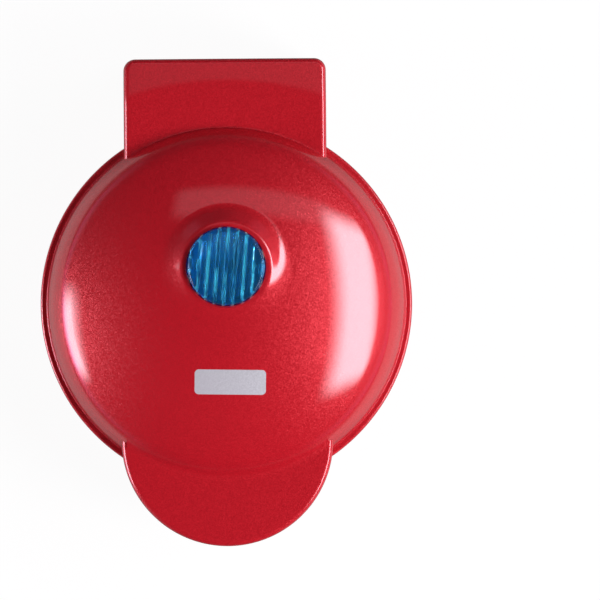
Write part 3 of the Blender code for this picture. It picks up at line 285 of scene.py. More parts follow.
def feed(tree, shader, **sources):
    for label, source in sources.items():
        tree.links.new(source, shader.inputs[shaderSockets[label]])


def calc(tree, operation, *values, kind="Math"):
    node = addNode(tree, "ShaderNode" + kind, dict(enumerate(values)), operation=operation)
    return node.outputs["Value" if operation == "LENGTH" else 0]


def vectorCalc(tree, operation, *values):
    return calc(tree, operation, *values, kind="VectorMath")


# Maps start and end of the value to low and high.
def spread(tree, value, low, high, start=0.0, end=1.0, kind="LINEAR"):
    values = {"Value": value, "From Min": start, "From Max": end, "To Min": low, "To Max": high}
    return addNode(tree, "ShaderNodeMapRange", values, interpolation_type=kind).outputs["Result"]


def moved(tree, spot, **values):
    values = {socket.capitalize(): value for socket, value in values.items()}
    return addNode(tree, "ShaderNodeMapping", {"Vector": spot, **values}).outputs["Vector"]


def apart(tree, spot):
    return addNode(tree, "ShaderNodeSeparateXYZ", {"Vector": spot}).outputs


# Noise with features of about size millimetres.
def noiseOf(tree, spot, size, detail=3.0, rough=0.5):
    values = {"Vector": spot, "Scale": 1000 / size, "Detail": detail, "Roughness": rough}
    return addNode(tree, "ShaderNodeTexNoise", values).outputs["Fac"]


def mixColours(tree, factor, first, second):
    first, second = ((*colour, 1) if isinstance(colour, tuple) else colour for colour in (first, second))
    return addNode(tree, "ShaderNodeMix", {0: factor, 6: first, 7: second}, data_type="RGBA").outputs[2]


# Relief of a depth in millimetres.
def bump(tree, height, depth):
    return addNode(tree, "ShaderNodeBump", {"Distance": depth * mm, "Height": height}).outputs["Normal"]


paint = {
    "deep": (0.525, 0.0082, 0.0175),
    "bright": (0.60, 0.0097, 0.0205),
    "metal": 0.3,
    "rough": 0.4,
    "coatRough": 0.05,
    "coatIor": 1.75,
    "flake": 0.28,
    "flakeTilt": 0.115,
    "orangePeel": 5.0,
    "peelDepth": 0.002,
    "labelColour": (0.60, 0.61, 0.65),
    "labelPlace": (1.1, -26.4),
    "labelSize": (24.0, 8.4),
    "labelCorner": 1.4,
    "labelTurn": 1.0,
    "labelEdge": 0.04,
    "labelAbove": 60.0,
}


# 1 inside the plain printed panel on the front of the dome, 0 elsewhere.
def blankLabel(tree, spot):
    x, y = paint["labelPlace"]
    turn = math.radians(paint["labelTurn"])
    across = -(x * math.cos(turn) - y * math.sin(turn)) * mm
    along = -(x * math.sin(turn) + y * math.cos(turn)) * mm
    corner, edge = paint["labelCorner"], paint["labelEdge"]
    half = [(size / 2 - corner) * mm for size in paint["labelSize"]]
    spun = moved(tree, spot, rotation=(0, 0, turn), location=(across, along, 0))
    away = vectorCalc(tree, "ABSOLUTE", spun)
    away = vectorCalc(tree, "SUBTRACT", away, (*half, 1.0))
    away = vectorCalc(tree, "LENGTH", vectorCalc(tree, "MAXIMUM", away, (0, 0, 0)))
    inside = spread(tree, away, 0.0, 1.0, (corner + edge) * mm, (corner - edge) * mm)
    above = calc(tree, "GREATER_THAN", apart(tree, spot)["Z"], paint["labelAbove"] * mm)
    return calc(tree, "MULTIPLY", inside, above)


# Clear lacquer over a red coat with fine metal flakes, each tilted its own way.
def candyPaint():
    look, tree, shader, spot = newLook("candyRedPaint", metal=paint["metal"], rough=paint["rough"], coat=1.0,
                                       coatRough=paint["coatRough"], coatIor=paint["coatIor"])
    cells = addNode(tree, "ShaderNodeTexVoronoi", {"Vector": spot, "Scale": 1000 / paint["flake"]})
    flakes = cells.outputs["Color"]
    tilt = vectorCalc(tree, "SUBTRACT", flakes, (0.5, 0.5, 0.5))
    tilt = addNode(tree, "ShaderNodeVectorMath", {0: tilt, "Scale": 2 * paint["flakeTilt"]},
                   operation="SCALE").outputs[0]
    normal = addNode(tree, "ShaderNodeNewGeometry").outputs["Normal"]
    bent = vectorCalc(tree, "NORMALIZE", vectorCalc(tree, "ADD", normal, tilt))
    share = addNode(tree, "ShaderNodeSeparateColor", {"Color": flakes}).outputs["Red"]
    colour = mixColours(tree, share, paint["deep"], paint["bright"])
    colour = mixColours(tree, blankLabel(tree, spot), colour, paint["labelColour"])
    peel = bump(tree, noiseOf(tree, spot, paint["orangePeel"], 1.0), paint["peelDepth"])
    feed(tree, shader, colour=colour, normal=bent, coatNormal=peel)
    return look


# Moulded plastic with a fine spark-eroded grain.
def mouldedPlastic(name, colour, rough, grain=0.35, depth=0.01):
    look, tree, shader, spot = newLook(name, colour=colour)
    fine = noiseOf(tree, spot, grain, 2.0, 0.6)
    broad = noiseOf(tree, spot, 18, 2.0)
    shade = tuple(channel * 0.86 for channel in colour)
    feed(tree, shader, rough=spread(tree, broad, rough - 0.05, rough + 0.07),
         colour=mixColours(tree, broad, shade, colour), normal=bump(tree, fine, depth))
    return look


# Dark sprayed coating on a casting, with pale specks and a slight cast unevenness.
def nonStick():
    look, tree, shader, spot = newLook("nonStickCoating", colour=(0.03, 0.03, 0.032))
    specks = addNode(tree, "ShaderNodeTexVoronoi", {"Vector": spot, "Scale": 1000 / 0.7})
    near = spread(tree, specks.outputs["Distance"], 1.0, 0.0, 0.10, 0.2)
    feed(tree, shader, colour=mixColours(tree, near, (0.022, 0.022, 0.024), (0.10, 0.10, 0.105)),
         rough=spread(tree, noiseOf(tree, spot, 9, 3.0), 0.3, 0.5),
         normal=bump(tree, noiseOf(tree, spot, 0.5, 3.0, 0.6), 0.012))
    return look


# Plated steel with drawn streaks and a little cloudiness.
def platedSteel(name, colour, low, high, streak=(1, 1, 14)):
    look, tree, shader, spot = newLook(name, metal=1.0)
    streaks = noiseOf(tree, moved(tree, spot, scale=streak), 0.8, 3.0, 0.7)
    cloudy = noiseOf(tree, spot, 5, 2.0)
    dark = tuple(channel * 0.78 for channel in colour)
    feed(tree, shader, rough=spread(tree, streaks, low, high), colour=mixColours(tree, cloudy, dark, colour),
         normal=bump(tree, streaks, 0.006))
    return look


# Lens stripes: bright is the colour of the painted highlight streaks along the flutes; clear and deep are the
# lens's tints above and below the flutes' level.
stripes = {
    "turn": 4.6,
    "shift": 1.0025,
    "half": 1.5,
    "edge": (0.7, 0.35),
    "patch": 1.6,
    "patchEdge": (0.36, 0.56),
    "deepBelow": (68.3, 68.2),
    "clear": (0.08, 0.72, 1.0),
    "deep": (0.002, 0.15, 0.64),
    "bright": (0.85, 1.0, 1.0),
}


# Polished see-through blue plastic with painted highlight streaks: bright cyan stripes along the flutes,
# broken into patches, that let little light through.
def clearBlue():
    look, tree, shader, spot = newLook("blueLensPlastic", ior=1.49, rough=0.03)
    turn = math.radians(stripes["turn"])
    spun = moved(tree, spot, rotation=(0, 0, turn), location=(stripes["shift"] * mm, 0, 0))
    split = apart(tree, spun)
    start, end = stripes["edge"]
    # Painted highlight: a bright stripe along each flute where the flutes would catch the light, broken into
    # patches and kept to the fluted underside.
    ridge = calc(tree, "PINGPONG", split["X"], stripes["half"] * mm)
    paintedStreak = spread(tree, ridge, 0.0, 1.0, start * mm, end * mm)
    patch = noiseOf(tree, moved(tree, spun, scale=(1, 0.16, 1)), stripes["patch"], 2.0)
    paintedStreak = calc(tree, "MULTIPLY", paintedStreak, spread(tree, patch, 0.0, 1.0, *stripes["patchEdge"]))
    start, end = stripes["deepBelow"]
    deep = spread(tree, split["Z"], 0.0, 1.0, start * mm, end * mm)
    paintedStreak = calc(tree, "MULTIPLY", paintedStreak, deep)
    tint = mixColours(tree, deep, stripes["clear"], stripes["deep"])
    # Little light passes through the painted highlight streaks, and a little less than elsewhere below the
    # flutes' level.
    haze = calc(tree, "MAXIMUM", paintedStreak, spread(tree, deep, 0.0, 0.08))
    feed(tree, shader, colour=mixColours(tree, paintedStreak, tint, stripes["bright"]),
         through=spread(tree, haze, 0.97, 0.08), normal=bump(tree, noiseOf(tree, spot, 2.5, 1.0), 0.0008))
    return look


def lampGlass():
    look, tree, shader, spot = newLook("lampGlass", through=1.0, ior=1.5)
    haze = noiseOf(tree, spot, 1.5, 2.0)
    feed(tree, shader, colour=mixColours(tree, haze, (0.95, 0.82, 0.7), (1, 0.95, 0.9)),
         rough=spread(tree, haze, 0.02, 0.12))
    return look


def blackRubber():
    look, tree, shader, spot = newLook("blackRubber", colour=(0.018, 0.018, 0.019))
    fine = noiseOf(tree, spot, 0.25, 3.0, 0.65)
    dust = noiseOf(tree, spot, 6, 4.0)
    feed(tree, shader, colour=mixColours(tree, dust, (0.014, 0.014, 0.015), (0.035, 0.034, 0.033)),
         rough=spread(tree, fine, 0.6, 0.85), normal=bump(tree, fine, 0.02))
    return look


# Glass sleeve of a heat-proof wire: a fine crossed braid.
def braidedSleeve():
    look, tree, shader, spot = newLook("braidedSleeve", rough=0.7)
    threads = []
    for angle in (0.8, -0.8):
        leaning = moved(tree, spot, rotation=(angle, angle, angle))
        threads.append(addNode(tree, "ShaderNodeTexWave", {"Vector": leaning, "Scale": 900.0}).outputs["Fac"])
    crossed = calc(tree, "MAXIMUM", *threads)
    feed(tree, shader, colour=mixColours(tree, crossed, (0.45, 0.43, 0.38), (0.82, 0.80, 0.74)),
         normal=bump(tree, crossed, 0.06))
    return look


looks = {
    "paint": candyPaint(),
    "frame": mouldedPlastic("redMouldedPlastic", (0.40, 0.010, 0.018), 0.34),
    "coating": nonStick(),
    "steel": platedSteel("zincPlatedSteel", (0.62, 0.62, 0.64), 0.22, 0.42),
    "sheath": platedSteel("heatTintedSheath", (0.24, 0.21, 0.18), 0.42, 0.62),
    "sheet": platedSteel("rolledAluminium", (0.82, 0.82, 0.84), 0.22, 0.4, (14, 1, 1)),
    "blue": clearBlue(),
    "white": mouldedPlastic("whiteMouldedPlastic", (0.78, 0.78, 0.76), 0.42),
    "glass": lampGlass(),
    "rubber": blackRubber(),
    "sleeve": braidedSleeve(),
    "phenolic": mouldedPlastic("brownPhenolic", (0.075, 0.035, 0.018), 0.4, 0.5, 0.02),
}
print("materials:", len(looks))


# Lid

dome = {
    "shoulderRadius": 17.0,
    "shoulderRise": 4.5,
    "draft": 7.0,
    "rise": 32.8,
    "steps": 256,
}
collar = {
    "centre": 12.5,
    "top": 66.85,
    "hole": 13.3,
    "holeEdge": 0.3,
    "under": 61.0,
    "radius": 15.0,
    "rounding": 0.7,
    "slope": 28.5,
    "slopeTilt": 16.0,
    "seat": 65.9,
    "seatRadius": 14.5,
    "footEnd": 21.5,
    "footSlope": 0.7,
    "reach": 25.0,
    "blend": 1.0,
    "ringGaps": (0.14, 0.4, 1.0),
}
block = {
    "rise": 11.0,
    "front": 31.75,
    "crownFrom": 76.0,
    "crownBow": 0.0048,
    "crownSoft": 1.0,
    "crownSlope": 0.15,
    "crownRings": (0.02, 0.2, 0.35, 0.48, 0.58, 0.66, 0.72, 0.78, 0.83, 0.88, 0.92, 0.96),
    "footFillet": 0.7,
}
tab = {
    "rise": 14.0,
    "fillet": 5.0,
    "sunk": 1.1,
}

# The shoulder is an arc that leaves the drafted wall, and the dome a sphere that leaves the shoulder.
draft = math.radians(dome["draft"])
shoulderRadius = dome["shoulderRadius"]
wallRise = dome["shoulderRise"] + shoulderRadius * math.sin(draft) - housing["lipHeight"]
shoulderReach = foot - wallRise * math.tan(draft) - shoulderRadius * math.cos(draft)
shoulderHeight = parting + dome["shoulderRise"]
domeDrop = parting + dome["rise"] - shoulderHeight
sphereRadius = (shoulderReach ** 2 + domeDrop ** 2 - shoulderRadius ** 2) / (2 * (domeDrop - shoulderRadius))
sphereCentre = parting + dome["rise"] - sphereRadius
tangent = math.atan2(shoulderHeight - sphereCentre, shoulderReach)
blockTop, tabTop = parting + block["rise"], parting + tab["rise"]


def domeHeight(r):
    return sphereCentre + math.sqrt(max(sphereRadius ** 2 - r ** 2, 0))


# A flat ledge round the lens and a flank that is steeper at the rear, where the dome falls away.
def collarHeight(x, y):
    across, along = x, y - collar["centre"]
    away = math.hypot(across, along)
    ramp = softRamp(away - collar["radius"], collar["rounding"])
    slope = collar["slope"] + collar["slopeTilt"] * along / max(away, 0.1)
    beyond = max(away - collar["footEnd"], 0)
    return collar["top"] - math.tan(math.radians(slope)) * ramp - collar["footSlope"] * beyond


def softMax(a, b, width):
    gap = max(width - abs(a - b), 0) / width
    return max(a, b) + gap * gap * width / 4


# Rings run from the lens hole over the collar, the dome and the shoulder to the lip.
def lidBody():
    steps, hole, edge, top = dome["steps"], collar["hole"], collar["holeEdge"], collar["top"]
    middle, under = (0, collar["centre"]), collar["under"]
    fine, medium, coarse = collar["ringGaps"]
    last = sphereRadius * math.cos(tangent)
    rings = [[(*middle, under)], circleRing(hole, under, steps, middle)]
    for r, z in arcPoints((hole + edge, top - edge), edge, 180, 90, 4):
        rings.append(circleRing(r, z, steps, middle))
    radii = [hole + edge + 0.2]
    while radii[-1] < collar["reach"]:
        radii.append(radii[-1] + (fine if radii[-1] < collar["radius"] + 1 else medium))
    while radii[-1] < last - 1.5:
        radii.append(radii[-1] + coarse)
    for r in radii + [last]:
        share = max(r - collar["reach"], 0) / (last - collar["reach"])
        ring = circleRing(r, 0, steps, (0, collar["centre"] * (1 - share)))
        rings.append([(x, y, softMax(domeHeight(math.hypot(x, y)), collarHeight(x, y), collar["blend"]))
                      for x, y, _ in ring])
    shoulder = (shoulderReach, shoulderHeight)
    profile = arcPoints(shoulder, shoulderRadius, math.degrees(tangent), dome["draft"], 16)[1:]
    profile += [(foot - 0.05, lipTop + 0.4)]
    profile += arcPoints((foot + lipHollow, lipTop + lipHollow), lipHollow, 180, 270, 4)
    profile += arcPoints((rim - lipRound, lipTop - lipRound), lipRound, 90, 0, 8)
    profile += [(rim, 30), (0, 30)]
    return ringLoft("lidShell", rings + [circleRing(r, z, steps) for r, z in profile])


# Points between two places, without the places themselves.
def alongLine(start, end, steps):
    return [tuple(a + (b - a) * n / steps for a, b in zip(start, end)) for n in range(1, steps)]


# The hinge block's outline, straight at the front and with round rear corners.
def blockOutline(inset=0.0, front=block["front"], shrink=0.0):
    half, rear, corner = (housing[name] - shrink for name in ("blockHalf", "blockReach", "blockCorner"))
    width = half - inset
    bow = max(corner - inset, 0.05)
    parts = [arcPoints((half - corner, rear - corner), bow, 0, 90, 10),
             arcPoints((corner - half, rear - corner), bow, 90, 180, 10),
             [(-width, front + inset)], [(width, front + inset)]]
    outline = []
    for part, after, steps in zip(parts, parts[1:] + parts[:1], (40, 24, 40, 24)):
        outline += part + alongLine(part[-1], after[0], steps)
    return outline


def tabOutline(inset=0.0, rear=-14.0):
    radius = housing["tabRadius"] - inset
    return [(-radius, rear)] + arcPoints((0, tabMiddle), radius, 180, 360, 96) + [(radius, rear)]


# Loft of an outline whose upper or lower edge is rounded; crown lowers the top face at (x, y).
def roundedSolid(name, outlineAt, low, high, roundTop, crown=None):
    rings = []
    if crown:
        edge = outlineAt(edgeRound)
        middle = sum(y for _, y in edge) / len(edge)
        for share in block["crownRings"]:
            rings.append([(x * share, middle + (y - middle) * share, high) for x, y in edge])
    for index in range(9):
        turn = math.radians(90 * (8 - index if roundTop else index) / 8)
        rise = edgeRound * math.sin(turn)
        z = high - edgeRound + rise if roundTop else low + edgeRound - rise
        rings.append([(x, y, z) for x, y in outlineAt(edgeRound * (1 - math.cos(turn)))])
    flat = [(x, y, low if roundTop else high) for x, y in outlineAt(0.0)]
    rings.insert(len(rings) if roundTop else 0, flat)
    if crown:
        rings = [[(x, y, z - crown(x, y) if z > high - edgeRound - 0.01 else z) for x, y, z in ring]
                 for ring in rings]
    return ringLoft(name, rings)


# The block's top falls away a little towards its rear edge, from a bowed line on.
def blockCrown(x, y):
    behind = y - block["crownFrom"] + block["crownBow"] * x * x
    return block["crownSlope"] * softRamp(behind, block["crownSoft"])


# Ring with a hollow face that leads from a flat top up the dome's shoulder.
def filletRing(name, planeHeight, fillet):
    ballHeight = planeHeight + fillet
    ballReach = shoulderReach + math.sqrt((shoulderRadius + fillet) ** 2 - (ballHeight - shoulderHeight) ** 2)
    tilt = math.degrees(math.atan2(ballHeight - shoulderHeight, ballReach - shoulderReach))
    turn, sunk = math.radians(tilt), tab["sunk"]
    valley = arcPoints((ballReach, ballHeight - 0.02), fillet, 180 + tilt, 269.5, 14)
    low = planeHeight - 0.4
    skin = shoulderReach + math.sqrt(shoulderRadius ** 2 - (low - shoulderHeight) ** 2)
    ring = [(valley[0][0] - sunk * math.cos(turn), valley[0][1] - sunk * math.sin(turn))] + valley
    return lathe(name, ring + [(ballReach, low), (skin - sunk, low)], closed=True)


lidHollow = {
    "ledge": 39.2,
    "seat": 37.7,
    "rearWall": 8.3,
    "blockCeiling": 42.8,
    "tabCeiling": 45.8,
    "window": (68.7, 74.5, 35.6, 41.4),
}


def lidCavity():
    slope, ledge, seat = math.degrees(tangent), lidHollow["ledge"], lidHollow["seat"]
    profile = arcPoints((0, sphereCentre), sphereRadius - wall, 90, slope, 16)
    profile[0] = (0, profile[0][1])
    profile += arcPoints((shoulderReach, shoulderHeight), shoulderRadius - wall, slope, dome["draft"], 5)[1:]
    inner = rim - housing["lipWall"]
    profile += [(foot - wall, ledge), (foot - wall, seat), (inner, seat), (inner, 26), (0, 26)]
    half = housing["blockHalf"] - wall
    rear = (half, hinge["y"] - lidHollow["rearWall"], lidHollow["blockCeiling"])
    return [lathe("lidHollow", profile, 128), slab("blockHollow", (-half, block["front"], 25), rear),
            prism("tabHollow", tabOutline(wall, -15), 24, lidHollow["tabCeiling"])]


def lidShell():
    body = lidBody()
    unite(body, roundedSolid("hingeBlock", blockOutline, 29, blockTop, True, blockCrown),
          roundedSolid("handleTab", tabOutline, 28, tabTop, True))
    carve(body, *lidCavity())

    valley = filletRing("tabValley", tabTop, tab["fillet"])
    trim(valley, prism("tabValleyRoom", tabOutline(edgeRound, -44.3), 28, tabTop + 5))
    seam = filletRing("blockSeam", blockTop, block["footFillet"])
    half = housing["blockHalf"] - edgeRound
    trim(seam, slab("blockSeamRoom", (-half, 45, 40), (half, 80, 50)))
    unite(body, valley, seam)

    carve(body, slab("belowLid", (-120, -120, -20), (120, 120, parting + housing["halfGap"])))
    middle = (0, collar["centre"])
    carve(body, rodAlong("lensRoom", "Z", collar["seatRadius"], 50, collar["seat"], middle, 96))
    cheeks = hingeBars("cheek", hinge["cheek"], hinge["knuckle"])
    for cheek in cheeks:
        trim(cheek, prism("cheekRoom", blockOutline(0.02, 60), 20, 50))
    unite(body, *cheeks)
    unite(body, *hingeBars("knuckle", hinge["inner"], hinge["knuckle"]))
    low, high = hinge["ear"]
    carve(body, *hingeBars("earRoom", (low - 0.5, high + 0.5), hinge["relief"]))
    inner = hinge["inner"][0]
    carve(body, rodAlong("guardRoom", "X", hinge["relief"], -inner, inner, hingeSpot))
    front, rear, low, high = lidHollow["window"]
    carve(body, slab("leadWindow", (-6.5, front, low), (6.5, rear, high)))
    carve(body, *hingeBars("pinBore", (hinge["pinStart"], 40), hinge["pin"]))
    return smoothOut(body)


wear(lidShell(), "paint", "lid", ["lid_shell"])


# Lens

lens = {
    "radius": 13.0,
    "crown": 70.3,
    "rise": 1.1,
    "rounding": 1.3,
    "flange": 14.2,
    "flangeTop": 65.6,
    "under": 64.4,
    "recess": 12.1,
    "ceiling": 66.4,
    "flutes": 8,
    "pitch": 3.0,
    "ridge": 0.06,
    "depth": 1.3,
    "turn": -4.6,
}


# Ring of one end of a flute: an arch over a short foot that dips below the ceiling.
def fluteRing(centre, across, offset, half):
    ring = []
    for step in range(9):
        share = step / 8
        bow = math.cos((share - 0.5) * math.pi) ** 0.8 if 0 < step < 8 else 0.0
        spot = centre + across * (offset - half + 2 * half * share)
        ring.append((spot.x, spot.y, lens["ceiling"] + lens["depth"] * bow))
    for edge in (offset + half, offset - half):
        spot = centre + across * edge
        ring.append((spot.x, spot.y, lens["ceiling"] - 0.5))
    return ring


def lensPiece():
    rise, bend, recess, ceiling = lens["rise"], lens["rounding"], lens["recess"], lens["ceiling"]
    flat = lens["radius"] - bend
    sphere = (flat ** 2 + rise ** 2) / (2 * rise)
    slope = math.degrees(math.acos(flat / sphere))
    profile = arcPoints((0, lens["crown"] - sphere), sphere, 90, slope, 30)
    profile[0] = (0, lens["crown"])
    profile += arcPoints((flat, lens["crown"] - rise - bend), bend, slope, 0, 12)[1:]
    profile += [(lens["radius"], lens["flangeTop"]), (lens["flange"], lens["flangeTop"]),
                (lens["flange"], lens["under"]), (recess, lens["under"]), (recess, ceiling), (0, ceiling)]
    piece = lathe("indicatorLens", profile, 160, (0, collar["centre"]))
    turn = math.radians(lens["turn"])
    across = Vector((math.cos(turn), math.sin(turn), 0))
    along = Vector((-math.sin(turn), math.cos(turn), 0))
    middle = Vector((0, collar["centre"], 0))
    half = lens["pitch"] / 2 - lens["ridge"]
    for index in range(lens["flutes"]):
        offset = (index - (lens["flutes"] - 1) / 2) * lens["pitch"]
        length = math.sqrt(max(recess ** 2 - (abs(offset) + half) ** 2, half ** 2)) - 0.2
        rings = [fluteRing(middle + along * end, across, offset, half) for end in (-length, length)]
        carve(piece, ringLoft("flute", rings))
    return smoothOut(piece, 35)


wear(lensPiece(), "blue", "lid", ["indicator_lens"])


# Base shell

base = {
    "pan": 3.0,
    "blockFloor": 3.4,
    "tabFloor": 22.0,
    "draft": 10.0,
    "corner": 11.0,
    "seat": 30.3,
    "trough": 24.5,
    "bridge": 69.2,
    "column": 4.3,
    "columnSunk": 1.1,
    "columnGap": 0.3,
    "well": 2.9,
    "wellDepth": 3.0,
    "screwHole": 1.8,
    "footPlace": 27.94,
    "footSeat": 6.3,
    "glandHole": 5.8,
    "glandHeight": 14.0,
}
columns = [(24.15, 62.0, 9.0), (-24.15, 62.0, 9.0), (12.96, -66.0, 5.0), (-12.96, -66.0, 5.0)]
footPlaces = [(x, y) for x in (-base["footPlace"], base["footPlace"])
              for y in (-base["footPlace"], base["footPlace"])]


# Centre of the arc that leads from the bowl's drafted wall to its floor.
def bowlCorner():
    lean = math.radians(base["draft"])
    height = base["pan"] + base["corner"]
    drop = lipLow - (height - base["corner"] * math.sin(lean))
    return foot - drop * math.tan(lean) - base["corner"] * math.cos(lean), height


def baseOutside():
    profile = [(0, 40), (rim, 40)] + arcPoints((rim - lipRound, lipLow + lipRound), lipRound, 0, -90, 8)
    profile += arcPoints((foot + lipHollow, lipLow - lipHollow), lipHollow, 90, 180, 4)
    profile += arcPoints(bowlCorner(), base["corner"], -base["draft"], -90, 20)
    body = lathe("baseShell", profile + [(0, base["pan"])], 256)
    rear = roundedSolid("baseBlock", blockOutline, base["blockFloor"], 40.6, False)
    front = roundedSolid("baseTab", lambda inset: tabOutline(inset, -23), base["tabFloor"], 41.2, False)
    return unite(body, rear, front)


def baseCavity():
    inner = rim - housing["lipWall"]
    seat, side = base["seat"], foot - wall
    profile = [(0, 54), (inner, 54), (inner, seat), (side, seat), (side, lipLow)]
    profile += arcPoints(bowlCorner(), base["corner"] - wall, -base["draft"], -90, 8)
    bowl = lathe("bowlHollow", profile + [(0, base["pan"] + wall)], 128)
    outline = blockOutline(0.0, block["front"] + 1, wall)
    return [bowl, prism("baseBlockHollow", outline, base["blockFloor"] + wall, 52),
            prism("baseTabHollow", tabOutline(wall, -23), base["tabFloor"] + wall, 53)]


# Room behind the hinge for the knuckles and for the lid's rear face when the lid is open.
def swingRoom():
    points = [(hinge["y"] - hinge["relief"], 46)] + arcPoints(hingeSpot, hinge["relief"], 180, 260, 28)
    far, last = hinge["y"] + 12, points[-1]
    points += [(far, last[1] - (far - last[0]) * math.tan(math.radians(10))), (far, 46)]
    return prism("swingRoom", points, -38.5, 38.5, "X")


def earNeck(name, low, high):
    return slab(name, (low, 72.3, 26), (high, 78.3, 31.6))


def baseShell():
    body = carve(baseOutside(), *baseCavity())
    half = housing["blockHalf"] - 1.1
    unite(body, slab("trough", (-half, base["bridge"], base["trough"]), (half, 82.4, 36)))
    tops = [parting - drop - base["columnGap"] for _, _, drop in columns]
    for (x, y, _), top in zip(columns, tops):
        floor = (base["blockFloor"] if y > 0 else base["tabFloor"]) + base["columnSunk"]
        unite(body, rodAlong("column", "Z", base["column"], floor, top, (x, y)))
    for (x, y, _), top in zip(columns, tops):
        deep = top - base["wellDepth"]
        well = lathe("well", [(0, deep), (base["well"], deep), (base["well"], 0), (0, 0)], 48, (x, y))
        carve(body, well, rodAlong("columnHole", "Z", base["screwHole"], -1, top + 0.5, (x, y), 32))
    carve(body, slab("aboveBase", (-120, -120, parting - housing["halfGap"]), (120, 120, 120)), swingRoom())
    carve(body, slab("leadHole", (-6.5, 71.3, 24.0), (6.5, 76.2, 34)))
    ears = hingeBars("ear", hinge["ear"], hinge["knuckle"])
    ears += mirrored("earNeck", earNeck, *hinge["ear"])
    guard = arcPoints(hingeSpot, hinge["knuckle"], -100, 20, 24) + arcPoints(hingeSpot, 4.0, 20, -100, 24)
    ears.append(prism("leadGuard", guard, -hinge["guard"], hinge["guard"], "X"))
    neck = hinge["guard"] - 0.03
    unite(body, *ears, slab("guardNeck", (-neck, 76.5, 26), (neck, 78.3, 29)))
    carve(body, *hingeBars("basePinBore", (hinge["pinStart"], 40), hinge["pin"]))
    for place in footPlaces:
        carve(body, rodAlong("footSeat", "Z", base["footSeat"], -1, 4, place, 64))
    carve(body, rodAlong("glandHole", "Y", base["glandHole"], 80.8, 88, (0, base["glandHeight"]), 64))
    return smoothOut(body)


wear(baseShell(), "paint", "base", ["base_shell"])


# Inner frames

ledge = {
    "hole": 51.1,
    "collar": 53.1,
    "collarRound": 0.6,
    "inner": 41.5,
    "near": 13.8,
    "far": 15.4,
    "rim": 61.4,
    "inset": 2.5,
    "rear": 68.9,
    "rearCorner": 1.5,
    "panel": (0.4, 3.4),
    "leadNotch": (9.8, 19.4),
    "bossCircle": 45.0,
}
bossPlaces = [(ledge["bossCircle"] * math.cos(math.radians(turn)),
               ledge["bossCircle"] * math.sin(math.radians(turn))) for turn in (30, 150, 270)]


def frameOutline():
    edge, inset, rear, corner = ledge["rim"], ledge["inset"], ledge["rear"], ledge["rearCorner"]
    half = housing["blockHalf"] - inset
    radius = housing["tabRadius"] - inset
    blockY = math.sqrt(edge ** 2 - half ** 2)
    tabY = (edge ** 2 - radius ** 2 + tabMiddle ** 2) / (2 * tabMiddle)
    tabX = math.sqrt(edge ** 2 - tabY ** 2)
    low = math.degrees(math.atan2(tabY, tabX))
    high = math.degrees(math.atan2(blockY, half))
    turn = math.degrees(math.atan2(tabY - tabMiddle, tabX))
    points = arcPoints((0, 0), edge, low, high, 60)
    points += arcPoints((half - corner, rear - corner), corner, 0, 90, 6)
    points += arcPoints((corner - half, rear - corner), corner, 90, 180, 6)
    points += arcPoints((0, 0), edge, 180 - high, 180 - low, 60)
    return points + arcPoints((0, tabMiddle), radius, 180 - turn, 360 + turn, 72)[1:-1]


# Moulded panel round the plate, with a collar whose ledge carries the plate.
def innerFrame(name, side):
    hole, outer, inner, far = ledge["hole"], ledge["collar"], ledge["inner"], ledge["far"]
    panel = prism(name, frameOutline(), *levels(side, *ledge["panel"]))
    opening = [(0, 5), (hole - 0.02, 5), (hole - 0.02, 80), (0, 80)]
    carve(panel, lathe("frameHole", opening))
    bend = ledge["collarRound"]
    profile = [(hole, 0.9), (outer, 0.9), (outer, far - bend)]
    profile += arcPoints((outer - bend, far - bend), bend, 0, 90, 4)[1:]
    profile += [(inner, far), (inner, ledge["near"]), (hole, ledge["near"])]
    unite(panel, lathe("frameCollar", [(r, level(side, d)) for r, d in profile], closed=True))
    low, high = levels(side, *ledge["leadNotch"])
    carve(panel, slab("leadNotch", (-7.5, 37.5, low), (7.5, 57.1, high)))
    low, high = levels(side, ledge["near"] - 0.5, far + 0.5)
    hole = base["screwHole"]
    for place in bossPlaces:
        carve(panel, rodAlong("ledgeHole", "Z", hole, low, high, place, 32))
    if side > 0:
        for x, y, _ in columns:
            carve(panel, rodAlong("screwSeat", "Z", 2.6, 33, level(1, 2.3), (x, y)),
                  rodAlong("screwHole", "Z", hole, 33, level(1, 4), (x, y), 32))
    else:
        for x, y, drop in columns:
            unite(panel, rodAlong("post", "Z", 3.7, level(-1, drop), level(-1, 0.9), (x, y)))
        for x, y, drop in columns:
            carve(panel, rodAlong("pilot", "Z", hole, level(-1, drop) - 0.5, level(-1, 1.2), (x, y), 32))
    return smoothOut(panel)


for side, body in ((1, "lid"), (-1, "base")):
    wear(innerFrame(body + "InnerFrame", side), "frame", body, [body + "_inner_frame"])


# Node trees for what repeats

# A group with a geometry output, a geometry input and the named inputs.
def groupOf(name, inputs):
    tree = bpy.data.node_groups.new(name, "GeometryNodeTree")
    ports = tree.interface
    ports.new_socket("Geometry", in_out="OUTPUT", socket_type="NodeSocketGeometry")
    ports.new_socket("Geometry", in_out="INPUT", socket_type="NodeSocketGeometry")
    for label, socket in inputs.items():
        ports.new_socket(label, in_out="INPUT", socket_type="NodeSocket" + socket)
    return tree, addNode(tree, "NodeGroupInput").outputs


# Copies of the piece on the points, made real and given their material.
def copiesOn(tree, given, values):
    piece = addNode(tree, "GeometryNodeObjectInfo", {"Object": given["Piece"]}).outputs["Geometry"]
    copies = addNode(tree, "GeometryNodeInstanceOnPoints", {"Instance": piece, **values}).outputs["Instances"]
    real = addNode(tree, "GeometryNodeRealizeInstances", {0: copies}).outputs[0]
    dressed = addNode(tree, "GeometryNodeSetMaterial", {"Geometry": real, "Material": given["Material"]})
    addNode(tree, "NodeGroupOutput", {0: dressed.outputs[0]})
    return tree


